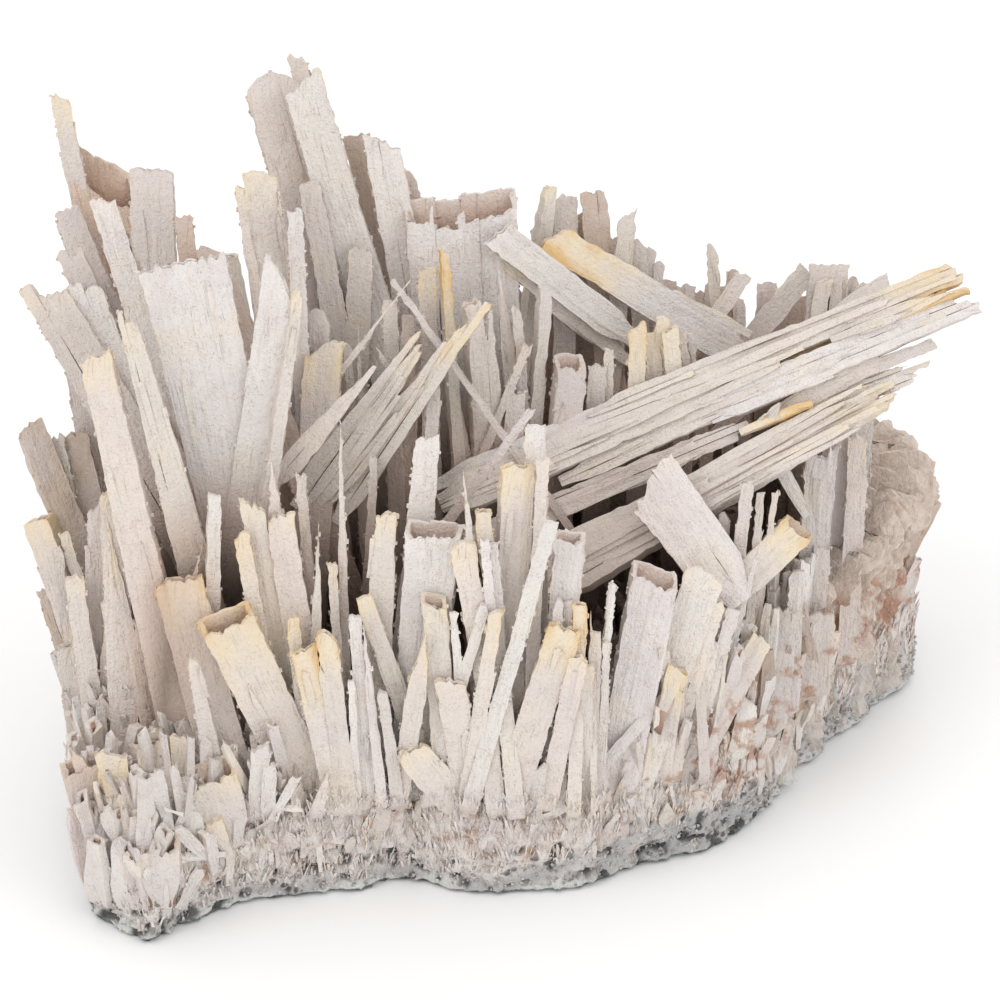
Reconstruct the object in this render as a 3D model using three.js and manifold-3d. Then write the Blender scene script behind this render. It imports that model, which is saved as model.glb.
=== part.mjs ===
// Quartz pseudomorph: a hand-sized cluster of box-like quartz blades on a slab of matrix.
// Millimetres, +Z up, the flat underside at z = 0, the long side along X, the front towards -Y.
import * as THREE from "three";
import { mergeVertices } from "three/addons/utils/BufferGeometryUtils.js";
import Module from "manifold-3d";

const wasm = await Module();
wasm.setup();

// ---- driving dimensions -------------------------------------------------------------------

// Blades are set out on a plane that leans back from upright, from a station in front of it:
// "across" and "rise" are measured on the plane, "back" is the distance behind the set-out line.
const lean = THREE.MathUtils.degToRad(30);
const stationDistance = 1000;
const planeMiddle = { rise: 100, height: 66.5, back: -14 };

// matrix slab
const slabHeight = 21;
const slabChamfer = { down: 2.4, out: 1.2 };
const slabOutline = [
  [-69, -59], [-64.5, -54], [-60, -51], [-56, -47.5], [-49, -43.5], [-42, -43], [-37, -41.5],
  [-28, -41], [-24, -37.5], [-19, -36], [-14, -38], [-8, -41], [0, -41.5], [8, -40.5], [17, -40],
  [23, -35], [28, -31.5], [33, -29.5], [42, -26.5], [48, -20], [53, -13], [57, -5], [60, 3],
  [64, 6], [68, 15], [73.5, 19.5], [79.5, 30], [85, 34.5], [87.5, 40], [87, 50], [83, 61],
  [72, 68], [50, 72], [22, 73], [-10, 73], [-38, 70], [-59, 61], [-74, 42], [-84, 19], [-87, -2],
  [-85, -22], [-82, -35], [-80, -50], [-74, -55],
];

// how far the feet of the blades go down into the matrix, and how far a foot may be carried on
const footLevel = 15;
const longestFoot = 90;

// broken ends: on blades at least this wide the end steps down towards both edges
const steppedEnd = { leastWidth: 6, deepest: 1.9, ridge: 0.3, shoulder: 0.6, ridgeAt: [0.15, 0.55] };
const roundedEnd = { flat: 0.5, drop: 0.7 };
const pointedWidth = 0.6;

// open boxes: wall thickness and how deep the hollow goes
const openWall = 1.1;
const openDepth = 9;

const broken = "broken";
const open = "open";
const pointed = "pointed";
const rounded = "rounded";

// ---- blades -------------------------------------------------------------------------------
// tip across, rise, back, foot across, rise, back, tip width, foot width, thickness, roll, slant, end

// left end: tall fan with a curled hollow blade at its back
const leftFan = [
  [-81, 169, 32, -69, 118, 20, 12, 13, 5.5, 8, 11, open],
  [-88.2, 181.3, 31, -83.5, 158, 28, 3.4, 5, 3, 0, 1, broken],
  [-69.8, 166.5, 20, -68, 125, 10, 8.5, 10, 3, -5, 1.5, broken],
  [-79.6, 160.3, 18, -71, 133, 11, 5, 6, 2.5, 0, 1, broken],
  [-87.2, 158.5, 22, -77, 134, 14, 5.5, 6, 3, 10, -1, broken],
  [-87, 150.8, 19, -78, 133, 12, 5, 6, 2.5, 0, -0.5, broken],
  [-94, 142.8, 12, -79, 119, 4, 4.5, 7.5, 4, 5, 1.5, broken],
  [-85, 143.8, 13, -76, 127, 6, 6, 7, 3, 0, 0, broken],
  [-85.5, 134, 16, -80, 100, 6, 5, 7, 3, 0, 0, broken],
  [-63.3, 157.3, 12, -60, 125, 5, 3.4, 5, 3, 0, 2, broken],
  [-58.5, 150.8, 8, -45, 118, 0, 5, 7, 3, 0, 2, broken],
  [-94.4, 115.2, 2, -85, 92, -6, 5.6, 6.8, 4, 20, -3, broken],
  [-85, 113.8, 6, -80, 90, -3, 5, 5.5, 3, 0, 0, broken],
  [-92.4, 96.6, -8, -86, 78, -14, 5.5, 5, 4.4, -20, -1, open],
  [-85.2, 85.2, -22, -81, 56, -26, 3.6, 5, 3, 0, 0, broken],
];

// left centre: the widest white blade and the ones round it
const whiteFan = [
  [-63.8, 148.4, -6, -53, 100, -12, 17, 12, 3.6, 2, -1.5, broken],
  [-43.8, 149, -8, -51, 100, -13, 2.6, 12, 3.4, -4, -1, pointed],
  [-75, 138, -14, -58, 76, -26, 3.6, 10.5, 4.2, 0, 0, broken],
  [-80.8, 129.5, -16, -63, 50, -36, 6.2, 8.5, 4.2, -6, -2, broken],
  [-81, 98.7, -15, -80, 70, -20, 3, 4.5, 3, 0, -1, broken],
  [-77.3, 101.8, -18, -75.5, 64, -26, 5, 6, 4, 0, 0, rounded],
  [-49.8, 99.7, -26, -44, 70, -31, 4.4, 6.5, 3, 0, 2, broken],
  [-44, 97.4, -27, -38.6, 62, -33, 5.4, 6.5, 3, 0, -0.5, broken],
  [-45.8, 109.8, -21, -43.5, 80, -28, 3.6, 5.5, 2.6, 0, 0, pointed],
];

// back left: the tallest blades and the wide open box beside them
const backFan = [
  [-46, 185.8, 46, -26, 118, 22, 9, 9.5, 4, 8, 0, rounded],
  [-39.6, 184, 40, -22, 126, 24, 8, 9, 4, -4, -4, broken],
  [-37, 173.6, 37, -27.5, 140, 27, 4.6, 6, 3, 0, 0, broken],
  [-40.8, 189.3, 51, -33, 160, 43, 3.4, 4, 3, 0, 1, broken],
  [-23.8, 172.4, 39, -15.5, 128, 28, 7, 8.5, 3.4, 0, 2.5, broken],
  [-28.8, 173.2, 45, -23, 145, 38, 5.5, 6, 3, 0, 0, broken],
  [-18.3, 166, 47, -12.5, 140, 40, 2.6, 4, 3, 0, 3, broken],
  [-8, 158.6, 35, -6, 118, 24, 22.5, 18, 6.5, 2, -1.5, open],
  [-11, 151, 21, -9.6, 120, 13, 2.4, 5, 2.4, 15, 1.5, pointed],
  [-14.7, 146.5, 24, -14, 122, 16, 3.4, 4.2, 2.4, 0, -0.5, broken],
  [-27.7, 151.2, 27, -29, 118, 17, 4.8, 5.6, 2.6, 0, 1, broken],
  [-41.1, 158.8, 14, -39.6, 126, 6, 3, 4.6, 2, 0, 1.5, broken],
  [-48.3, 165.8, 20, -44, 126, 9, 6.4, 7.5, 3, 0, 1, broken],
  [-51.9, 163, 19, -47, 130, 9, 2, 4, 2.6, 0, 0, broken],
  [-38.3, 164, 31, -31, 126, 20, 4.4, 7, 3, 0, 0, broken],
  [-36.5, 138.2, 14, -34, 112, 6, 4, 5.5, 2.5, 0, 1, rounded],
  [-35.6, 131.7, 6, -37, 102, -4, 7, 7.6, 3, -4, -1, broken],
  [-22, 140, 16, -21, 112, 8, 3, 4, 2.5, 0, 0, broken],
];

// centre: three laths leaning to the right over the deep pocket
const slantingPair = [
  [-24.3, 127.4, -4, -45.5, 102.5, -12, 1.2, 5, 2.6, 0, 0, pointed],
  [-3, 139.9, 8, -33, 95.5, -6.5, 3, 5, 3.2, 0, 0, broken],
  [-12, 129.8, 5, -34, 100, -6, 2, 4, 3.4, 10, 0, pointed],
  [-15.1, 133, 5, -40, 98, -6, 3.4, 9, 3.4, 0, 0, broken],
];

// centre: upright blades in front of the pocket and behind it
const centre = [
  [-4.8, 140.4, 16, -2, 100, 10, 5.5, 9, 4.6, 18, 0, broken],
  [-10.8, 127, 14, -6.2, 102, 8, 2.4, 4.6, 3, 40, 0, pointed],
  [-0.9, 149.3, 24, 3, 120, 16, 3, 5, 3, 0, 0, pointed],
  [14.2, 128.7, 15, 11.6, 100, 9, 6, 6.6, 5, 12, 0, open],
  [19.4, 127.2, 17, 18.4, 100, 11, 3.6, 4, 2.6, 0, 0, broken],
  [27.7, 137.3, 18, 27.4, 108, 12, 1.2, 5.8, 3.2, 0, -1, pointed],
  [3, 121.5, 12, 2.8, 100, 8, 3.6, 4.6, 3, 0, 0, broken],
];

// back right: a low hedge with two long laths lying across it
const rightBack = [
  [6, 143, 45, 6, 108, 35, 12, 13.5, 3, 0, 1, broken],
  [25, 141, 47, 24, 108, 38, 13, 15, 3, 0, -1, broken],
  [41, 134.5, 52, 40, 108, 43, 13, 15, 3, 0, 1, broken],
  [56, 132, 56, 55, 108, 48, 12, 13.5, 3, 0, 0, broken],
  [10, 162.9, 46, 6.4, 140, 38, 2.8, 5, 3.4, 30, 0, broken],
  [13.2, 161.4, 50, 13, 138, 40, 4.6, 5, 3, 0, 0, broken],
  [18.6, 162, 49, 20.8, 138, 40, 5.4, 7.4, 4, 0, 0.8, broken],
  [26.4, 159.7, 45, 23.6, 138, 38, 1.2, 4, 2.6, 0, 0, pointed],
  [27.8, 152.3, 52, 28, 136, 44, 3.4, 4.4, 3, 0, 0, broken],
  [36, 143.2, 57, 38, 127, 50, 5.6, 7, 4, 0, 0, broken],
  [62, 146, 58, 48.5, 130, 52, 4.6, 5.4, 4, 0, 0, broken],
  [66, 147.4, 56, 64, 126, 48, 8, 9, 4, 0, 0, broken],
  [56.5, 142, 62, 55, 122, 54, 8, 9, 3, 0, 0, broken],
  [53.6, 143.7, 64, 52.4, 127, 56, 4, 5, 3, 0, 0, broken],
  [64.9, 144.2, 51, 61.8, 126, 46, 3, 4, 3, 0, 0, open],
];

// the long bundle that rises to the right and overhangs the end
const bundle = [
  [92.4, 145.8, 25, 18, 115.5, 10, 4.6, 6.4, 4.4, -12, 0, broken],
  [95.6, 140, 22, 40, 117, 11, 4.8, 7, 4.6, -8, 0, broken],
  [87, 131.6, 19, 66, 123, 14, 2, 3.6, 3, 0, 0, broken],
  [83.4, 125, 17, 56, 115, 10, 3, 4, 3, 0, 0, broken],
  [62.6, 126, 15, 12, 103.6, 4, 2.4, 4.2, 3.4, -6, 0, broken],
  [76, 127.8, 16, 54, 117, 11, 3.4, 4.4, 3, 0, 0, broken],
  [50, 115, 10, -12, 89, -2, 4, 6, 4, 0, 0, broken],
  [58, 129, 17, -12, 99, 1, 6, 7.5, 4.6, -10, 0, broken],
  [46, 127.4, 18, -13, 102.4, 4, 3.4, 5, 4.6, -16, 0, broken],
  [79.8, 122.2, 12, 12, 91, -8, 4.4, 8.6, 4.6, -18, 0, broken],
  [72.6, 116, 8, 36, 98.6, 0, 1.8, 4.2, 3, 0, 0, broken],
];

// right front: broad leaf, round tube and the slats under the bundle
const rightFront = [
  [41.4, 86, -18, 37, 73, -22, 7.4, 7, 2.6, 0, 2, rounded],
  [31.4, 86.2, -22, 24.6, 52, -30, 9.4, 8.4, 5, 6, 1.5, open],
  [63.4, 109.6, 12, 62, 82, 9, 4.6, 6, 3, 0, 0, broken],
  [72.6, 117, 32, 71, 92, 28, 4.2, 4.6, 2.6, 0, 0, broken],
  [52.4, 72.8, -15, 45, 59, -21, 4.6, 5, 3.4, 12, 1, broken],
  [56, 77, -1, 54, 60, -4, 4, 5, 2.6, 0, 0, broken],
];

// front row, from the left end to the right
const frontRow = [
  [-64.6, 84.6, -31, -57, 56, -36, 9.6, 9, 4.2, 0, 0, broken],
  [-55.4, 77, -38, -38.8, 44, -37, 10.6, 9, 5, 0, 0, open],
  [-61.5, 68.4, -42, -56.8, 44, -42, 2, 5.6, 3, 0, 0, broken],
  [-22.7, 97.6, -26, -24.6, 70, -32, 4, 8, 3, 0, 0, broken],
  [-27.4, 80.8, -34, -17, 52, -37, 3.4, 4.6, 2.4, 0, 0, broken],
  [-14.8, 112, -18, -17, 80, -26, 6.6, 6.4, 2, 0, -1.5, broken],
  [-13, 95.4, -28, -15.4, 66, -32, 10.6, 8.4, 5, -6, 0.5, open],
  [-13.2, 80.8, -35, -11.6, 58, -37, 4.8, 5, 4, 0, 1, open],
  [-14.6, 74.8, -39, -18.8, 49, -40, 4.6, 3.4, 2.4, 0, 0, pointed],
  [-18.6, 50.4, -42, -6.4, 37, -39, 6.6, 8, 3, 0, 0, broken],
  [-10, 64.3, -40, -6.6, 44, -39, 5.8, 6.4, 3, 0, 1, broken],
  [3.4, 107.4, -26, 1.2, 62, -34, 6, 6.4, 4, 0, 0, rounded],
  [-7.6, 91.8, -34, -4, 70, -36, 5, 3, 2.4, 0, -1, broken],
  [13.9, 93.4, -30, 12, 64, -35, 6, 5, 3.8, 0, 0, open],
  [13.2, 75, -39, 6, 53, -40, 6.6, 6.6, 4, 0, -0.5, broken],
  [-39.2, 70.6, -39, -34.2, 47, -41, 4.8, 4.6, 3, 0, -0.5, broken],
];

// left end, low in front: short blades between the fans and the low block
const leftFront = [
  [-72.6, 74, -24, -72, 52, -26, 3.8, 5.2, 3.4, 0, 0, broken],
  [-71.4, 76.4, -26, -66.4, 53, -29, 4.4, 6.6, 3.6, 10, 0, broken],
  [-87, 71, -20, -84, 54, -22, 3.8, 5.6, 4, 0, 0, broken],
];

// low block at the front left corner: crossed slats and two open boxes
const lowBlock = [
  [-59.4, 45.6, -50, -53.4, 28, -49, 11, 10.4, 4, 0, -0.5, open],
  [-68, 32.6, -57, -67, 16, -57, 7.6, 8, 4.6, 0, 0, open],
  [-84, 40, -48, -71, 19, -56, 4, 6, 3, 0, 0, broken],
  [-78, 50.2, -44, -76, 38, -48, 6, 7, 4, 0, 0, broken],
  [-70, 51.6, -43, -69, 38, -47, 5, 6, 4, 0, 0, broken],
  [-64, 53.4, -42, -62.6, 40, -46, 4, 5, 3, 0, 0, broken],
];

// blades that lie across others and end on them
const resting = [
  [61, 95.6, 1, 44.5, 79.5, -14, 7, 6.6, 6, 0, 0, open],
  [29.9, 103.6, -3.5, 48.5, 79.5, -16, 10.6, 10, 3.2, 0, -1.5, broken],
  [54.7, 109.2, 11, 61.4, 96.8, 9.5, 2.6, 3.8, 2.4, 0, -0.5, broken],
  [-0.8, 153.3, 28, 27, 131.6, 32, 6.2, 6.4, 3, 0, 2, broken],
  [0.2, 147.7, 30, 27, 126.6, 33, 2.2, 3.4, 3, 0, 0, broken],
  [10.2, 138.4, 31, 22.5, 129.6, 33, 2, 2.6, 2.5, 0, 0, broken],
  [10, 152.4, 34, 49, 128.8, 40, 6.6, 8, 3, 0, 1, broken],
  [34, 141.4, 40, 50, 133, 44, 2, 3, 2, 0, 0, broken],
];

// upright columns that build the sheer right end and the low front left corner:
// middle across, back, top height, width, depth, how far the top leans across and back
const wallColumns = [
  [78, 51, 40, 13, 14, 4, 0],
  [77, 40, 46, 13, 12, 5, -1],
  [75, 50, 56, 13, 14, 2, 1],
  [72, 30, 47, 13, 13, 4, 0],
  [68, 40, 58, 14, 13, 1, 0],
  [65, 20, 38, 12, 12, 3, 0],
  [58, 9, 28, 12, 12, 1, 0],
  [49, -6, 26, 13, 11, 1, 0],
  [-75, -43, 32, 13, 17, -1, 0],
  [-66, -47, 29, 12, 14, 0, 0],
  [-57, -38, 31, 13, 13, 1, 0],
  [-70, -31, 33, 16, 13, 0, 1],
];

// rows of blades that lean out over the back edge, highest behind the tallest blades
const backRows = [
  { back: 41, first: -72, step: 15, count: 11, share: 0.96, leanBack: 6 },
  { back: 53, first: -62, step: 14, count: 10, share: 1, leanBack: 11 },
  { back: 62, first: -52, step: 13.5, count: 10, share: 0.78, leanBack: 13 },
];
const backSkyline = { low: 63, peak: 30, peakAcross: -36, peakReach: 34 };
const backSizes = {
  shift: [-2.5, 2.5],
  heightShare: [0.8, 1.06],
  leanShare: [0.4, 1.4],
  leanAcross: [-7, 7],
  fanOut: 1.12,
  tipWidth: [3.6, 8.6],
  footWidth: [6, 11],
  thickness: [2.4, 4],
  roll: [-25, 25],
  slant: [-1.5, 1.5],
};

// broad low blades that fill the ground between the tall ones
const thicketRows = [
  { back: -17, first: -52, step: 24, count: 5, height: 38 },
  { back: 4, first: -64, step: 25, count: 6, height: 46 },
  { back: 24, first: -56, step: 25, count: 5, height: 52 },
  { back: 27, first: -57, step: 10.5, count: 3, height: 78 },
  { back: -8, first: -78, step: 10, count: 2, height: 41 },
  { back: 9, first: -78, step: 10, count: 2, height: 47 },
  { back: 27, first: -72, step: 10, count: 1, height: 54 },
];
const thicketSizes = {
  shift: [-2.5, 2.5],
  heightShare: [0.85, 1.15],
  leanAcross: [-8, 8],
  leanBack: [-4, 4],
  tipWidth: [6, 9],
  footWidth: [13, 18],
  thickness: 5,
  roll: [-30, 30],
};

// upright columns narrow from foot to top
const columnTaper = { foot: 0.56, top: 0.42, sides: 6 };

// ---- helpers ------------------------------------------------------------------------------

const forward = new THREE.Vector3(0, Math.cos(lean), -Math.sin(lean));
const upPlane = new THREE.Vector3(0, Math.sin(lean), Math.cos(lean));
const faceOn = forward.clone().negate();
const outward = new THREE.Vector3(0, 0.95, 0.3).normalize();

// a point on the line through (across, rise) of the leaning plane, at the given distance back
function place(across, rise, back) {
  const up = rise - planeMiddle.rise;
  const along = (back - up * upPlane.y) / (forward.y + (up * upPlane.y) / stationDistance);
  const spread = 1 + along / stationDistance;
  return new THREE.Vector3(across * spread, planeMiddle.back, planeMiddle.height)
    .addScaledVector(upPlane, up * spread)
    .addScaledVector(forward, along);
}

// repeatable unevenness between 0 and 1, and between the two ends of a range
function uneven(seed) {
  const wave = Math.sin(seed * 12.9898) * 43758.5453;
  return wave - Math.floor(wave);
}

function between([low, high], seed) {
  return low + (high - low) * uneven(seed);
}

function toSolid(geometry) {
  const bare = geometry.clone();
  bare.deleteAttribute("normal");
  bare.deleteAttribute("uv");
  const merged = mergeVertices(bare, 1e-4);
  return new wasm.Manifold(new wasm.Mesh({
    numProp: 3,
    vertProperties: new Float32Array(merged.attributes.position.array),
    triVerts: new Uint32Array(merged.index.array),
  }));
}

function toGeometry(solid) {
  const mesh = solid.getMesh();
  const points = new Float32Array(mesh.numVert * 3);
  for (let i = 0; i < mesh.numVert; i++) {
    for (let k = 0; k < 3; k++) {
      points[i * 3 + k] = mesh.vertProperties[i * mesh.numProp + k];
    }
  }
  const geometry = new THREE.BufferGeometry();
  geometry.setAttribute("position", new THREE.BufferAttribute(points, 3));
  geometry.setIndex(new THREE.BufferAttribute(new Uint32Array(mesh.triVerts), 1));
  return geometry;
}

// outline of one blade in its own plane: foot at y = 0, end at y = length
function bladeOutline(blade, length, seed) {
  const { tipWidth, footWidth, slant, end } = blade;
  const half = (end === pointed ? Math.min(pointedWidth, tipWidth) : tipWidth) / 2;
  const left = length + slant / 2;
  const right = length - slant / 2;
  const points = [[-footWidth / 2, 0], [footWidth / 2, 0]];
  if (end === rounded) {
    const { flat, drop } = roundedEnd;
    points.push([half, right - half * drop], [half * flat, right]);
    points.push([-half * flat, left], [-half, left - half * drop]);
  } else if (end === broken && tipWidth >= steppedEnd.leastWidth) {
    const ridgeAt = half * between(steppedEnd.ridgeAt, seed);
    const rightStep = right - between([0, steppedEnd.deepest], seed + 3);
    const leftStep = left - between([0, steppedEnd.deepest], seed + 5);
    points.push([half, rightStep], [ridgeAt, right], [ridgeAt - half * steppedEnd.ridge, left]);
    points.push([-half * steppedEnd.shoulder, leftStep], [-half, leftStep]);
  } else {
    points.push([half, right], [-half, left]);
  }
  return points;
}

function extrudeOutline(points, thickness) {
  const shape = new THREE.Shape(points.map(([x, y]) => new THREE.Vector2(x, y)));
  const geometry = new THREE.ExtrudeGeometry(shape, { depth: thickness, bevelEnabled: false });
  return geometry.translate(0, 0, -thickness / 2);
}

// one blade between two points; its broad face looks towards "facing", turned by roll
function bladeSolid(blade, seed) {
  const { tip, foot, facing, roll, thickness } = blade;
  const axis = tip.clone().sub(foot).normalize();
  const normal = facing.clone().addScaledVector(axis, -facing.dot(axis)).normalize();
  normal.applyAxisAngle(axis, THREE.MathUtils.degToRad(roll));
  const side = axis.clone().cross(normal);
  const carryOn = blade.rests ? 0 : THREE.MathUtils.clamp((foot.z - footLevel) / axis.z, 0, longestFoot);
  const root = foot.clone().addScaledVector(axis, -carryOn);
  const length = tip.distanceTo(root);
  const frame = new THREE.Matrix4().makeBasis(side, axis, normal).setPosition(root);
  const body = extrudeOutline(bladeOutline(blade, length, seed), thickness);
  let solid = toSolid(body.applyMatrix4(frame));
  if (blade.end === open) {
    const inside = { width: blade.tipWidth - 2 * openWall, depth: thickness - 2 * openWall };
    const hollow = new THREE.BoxGeometry(inside.width, 2 * openDepth, inside.depth);
    hollow.translate(0, length, 0);
    solid = solid.subtract(toSolid(hollow.applyMatrix4(frame)));
  }
  return solid;
}

// ---- matrix -------------------------------------------------------------------------------

function matrixSlab() {
  const shape = new THREE.Shape(slabOutline.map(([x, y]) => new THREE.Vector2(x, y)));
  const geometry = new THREE.ExtrudeGeometry(shape, {
    depth: slabHeight - 2 * slabChamfer.down,
    bevelEnabled: true,
    bevelThickness: slabChamfer.down,
    bevelSize: slabChamfer.out,
    bevelSegments: 1,
  });
  geometry.translate(0, planeMiddle.back, slabChamfer.down);
  return toSolid(geometry);
}

// upright coarse-grained columns: middle x, y, top height, width, depth, lean of the top outwards
function column([x, y, top, width, depth, outX, outY]) {
  const geometry = new THREE.CylinderGeometry(columnTaper.top, columnTaper.foot, top, columnTaper.sides);
  geometry.rotateX(Math.PI / 2).translate(0, 0, top / 2).scale(width, depth, 1);
  const points = geometry.attributes.position;
  for (let i = 0; i < points.count; i++) {
    const share = points.getZ(i) / top;
    points.setX(i, points.getX(i) + x + outX * share);
    points.setY(i, points.getY(i) + y + planeMiddle.back + outY * share);
  }
  return toSolid(geometry);
}

// ---- blades set out by rule ---------------------------------------------------------------

function skyline(across) {
  const offPeak = (across - backSkyline.peakAcross) / backSkyline.peakReach;
  return backSkyline.low + backSkyline.peak * Math.exp(-offPeak * offPeak);
}

function backBlade(row, across, mark) {
  const sizes = backSizes;
  const height = skyline(across) * row.share * between(sizes.heightShare, mark + 7);
  const tipAcross = across * sizes.fanOut + between(sizes.leanAcross, mark + 11);
  const tipBack = row.back + row.leanBack * between(sizes.leanShare, mark + 13);
  return {
    foot: new THREE.Vector3(across, row.back + planeMiddle.back, slabHeight),
    tip: new THREE.Vector3(tipAcross, tipBack + planeMiddle.back, height),
    facing: outward,
    tipWidth: between(sizes.tipWidth, mark + 17),
    footWidth: between(sizes.footWidth, mark + 19),
    thickness: between(sizes.thickness, mark + 23),
    roll: between(sizes.roll, mark + 29),
    slant: between(sizes.slant, mark + 31),
    end: broken,
  };
}

function thicketBlade(row, across, mark) {
  const sizes = thicketSizes;
  const back = row.back + planeMiddle.back;
  const height = row.height * between(sizes.heightShare, mark + 13);
  const tipAcross = across + between(sizes.leanAcross, mark + 7);
  return {
    foot: new THREE.Vector3(across, back, slabHeight),
    tip: new THREE.Vector3(tipAcross, back + between(sizes.leanBack, mark + 11), height),
    facing: faceOn,
    tipWidth: between(sizes.tipWidth, mark + 17),
    footWidth: between(sizes.footWidth, mark + 19),
    thickness: sizes.thickness,
    roll: between(sizes.roll, mark + 23),
    slant: 0,
    end: broken,
  };
}

// one blade for each place in each row; marks keep the unevenness of the rows apart
function setOutRows(rows, sizes, bladeAt, firstMark) {
  return rows.flatMap((row, rowIndex) => Array.from({ length: row.count }, (_, i) => {
    const mark = firstMark + 100 * rowIndex + i;
    return bladeAt(row, row.first + row.step * i + between(sizes.shift, mark), mark);
  }));
}

// ---- assembly -----------------------------------------------------------------------------

const rootedGroups = [
  leftFan, whiteFan, backFan, centre, rightBack, rightFront, frontRow, leftFront, lowBlock,
];
const restingGroups = [slantingPair, bundle, resting];

const solids = [matrixSlab(), ...wallColumns.map(column)];
let seed = 1;
for (const rows of [...rootedGroups, ...restingGroups]) {
  const rests = restingGroups.includes(rows);
  for (const row of rows) {
    const [tipAcross, tipRise, tipBack, footAcross, footRise, footBack] = row;
    const [tipWidth, footWidth, thickness, roll, slant, end] = row.slice(6);
    const tip = place(tipAcross, tipRise, tipBack);
    const foot = place(footAcross, footRise, footBack);
    const size = { tipWidth, footWidth, thickness };
    const blade = { tip, foot, facing: faceOn, ...size, roll, slant, end, rests };
    solids.push(bladeSolid(blade, seed));
    seed += 1;
  }
}
const ruledBlades = [
  ...setOutRows(backRows, backSizes, backBlade, 0),
  ...setOutRows(thicketRows, thicketSizes, thicketBlade, 700),
];
for (const blade of ruledBlades) {
  solids.push(bladeSolid(blade, seed));
  seed += 1;
}

// one grown piece: everything is joined, and pockets closed off inside it are filled
const joined = wasm.Manifold.union(solids);
const bodies = joined.decompose().filter((body) => body.volume() > 0);
const cluster = wasm.Manifold.compose(bodies);

const mesh = new THREE.Mesh(
  toGeometry(cluster),
  new THREE.MeshStandardMaterial({ color: 0xdcd3cd, roughness: 0.72, metalness: 0 }),
);
mesh.name = "crystal_cluster";

const group = new THREE.Group();
group.name = "quartz_pseudomorph";
group.add(mesh);

export default group;
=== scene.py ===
# Quartz pseudomorph: a cluster of box-like quartz blades on matrix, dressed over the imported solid
import bpy
import bmesh
import math
import numpy as np
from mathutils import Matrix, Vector


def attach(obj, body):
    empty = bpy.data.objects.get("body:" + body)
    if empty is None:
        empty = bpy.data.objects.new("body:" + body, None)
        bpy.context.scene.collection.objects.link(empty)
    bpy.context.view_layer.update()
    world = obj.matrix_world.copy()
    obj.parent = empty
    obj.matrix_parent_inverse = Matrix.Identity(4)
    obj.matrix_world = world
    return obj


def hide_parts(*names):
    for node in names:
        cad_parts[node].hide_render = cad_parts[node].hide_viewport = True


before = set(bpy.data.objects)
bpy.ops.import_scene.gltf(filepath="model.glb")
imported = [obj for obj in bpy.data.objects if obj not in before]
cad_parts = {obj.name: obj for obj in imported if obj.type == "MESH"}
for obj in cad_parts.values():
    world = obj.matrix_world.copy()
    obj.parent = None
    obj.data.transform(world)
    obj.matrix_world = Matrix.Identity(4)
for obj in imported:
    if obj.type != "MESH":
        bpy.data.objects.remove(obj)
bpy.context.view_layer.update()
scene = bpy.context.scene
mm = 0.001
print("stage: frame loaded")

# blades are set out on a plane that leans back from upright, in millimetres
setOut = {
    "lean": math.radians(30),
    "station": 1000.0,      # distance from the middle to the viewer
    "middleRise": 100.0,    # the rise that is level with the middle
    "middleHeight": 66.5,
    "middleBack": -14.0,
}
forward = np.array([0.0, math.cos(setOut["lean"]), -math.sin(setOut["lean"])])
upPlane = np.array([0.0, math.sin(setOut["lean"]), math.cos(setOut["lean"])])
faceOn = -forward


def place(across, rise, back):
    # a point given by how it is seen, across and rise, and by how far back it stands
    up = rise - setOut["middleRise"]
    along = (back - up * upPlane[1]) / (forward[1] + up * upPlane[1] / setOut["station"])
    spread = 1 + along / setOut["station"]
    start = np.array([across * spread, setOut["middleBack"], setOut["middleHeight"]])
    return start + upPlane * up * spread + forward * along


# camera, lights and floor, in metres and watts
studio = {
    "lensMm": 180.0,
    "sensorMm": 36.0,
    "clip": (0.05, 20.0),
    "lightTarget": (0, 0, 0.05),
    "lights": [  # name, place, size, watts, colour
        ("keyLight", (-0.75, -0.7, 1.15), 0.9, 4.2, (1, 0.985, 0.965)),
        ("fillLight", (1.0, -0.9, 0.7), 1.0, 3.0, (0.97, 0.98, 1)),
        ("rimLight", (0.3, 1.1, 0.9), 0.9, 2.0, (1, 1, 1)),
    ],
    "worldLight": 0.965,
    "floorTint": (0.95, 0.95, 0.95, 1),
    "floorRoughness": 0.9,
    "floorHalf": 4.0,
    "floorLevel": -0.00005,
}


def linked(name, data):
    thing = bpy.data.objects.new(name, data)
    scene.collection.objects.link(thing)
    return thing


def aimAt(thing, target):
    thing.rotation_euler = (Vector(target) - thing.location).to_track_quat("-Z", "Y").to_euler()


def newMaterial(name):
    material = bpy.data.materials.new(name)
    material.use_nodes = True
    return material, material.node_tree.nodes["Principled BSDF"]


def addCamera():
    data = bpy.data.cameras.new("viewCamera")
    data.lens = studio["lensMm"]
    data.sensor_width = studio["sensorMm"]
    data.clip_start, data.clip_end = studio["clip"]
    camera = linked("viewCamera", data)
    middle = np.array([0, setOut["middleBack"], setOut["middleHeight"]])
    camera.location = Vector((middle - forward * setOut["station"]) * mm)
    aimAt(camera, middle * mm)
    scene.camera = camera


def addLight(name, where, size, watts, colour):
    data = bpy.data.lights.new(name, "AREA")
    data.shape = "DISK"
    data.size = size
    data.energy = watts
    data.color = colour
    light = linked(name, data)
    light.location = where
    aimAt(light, studio["lightTarget"])


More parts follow.
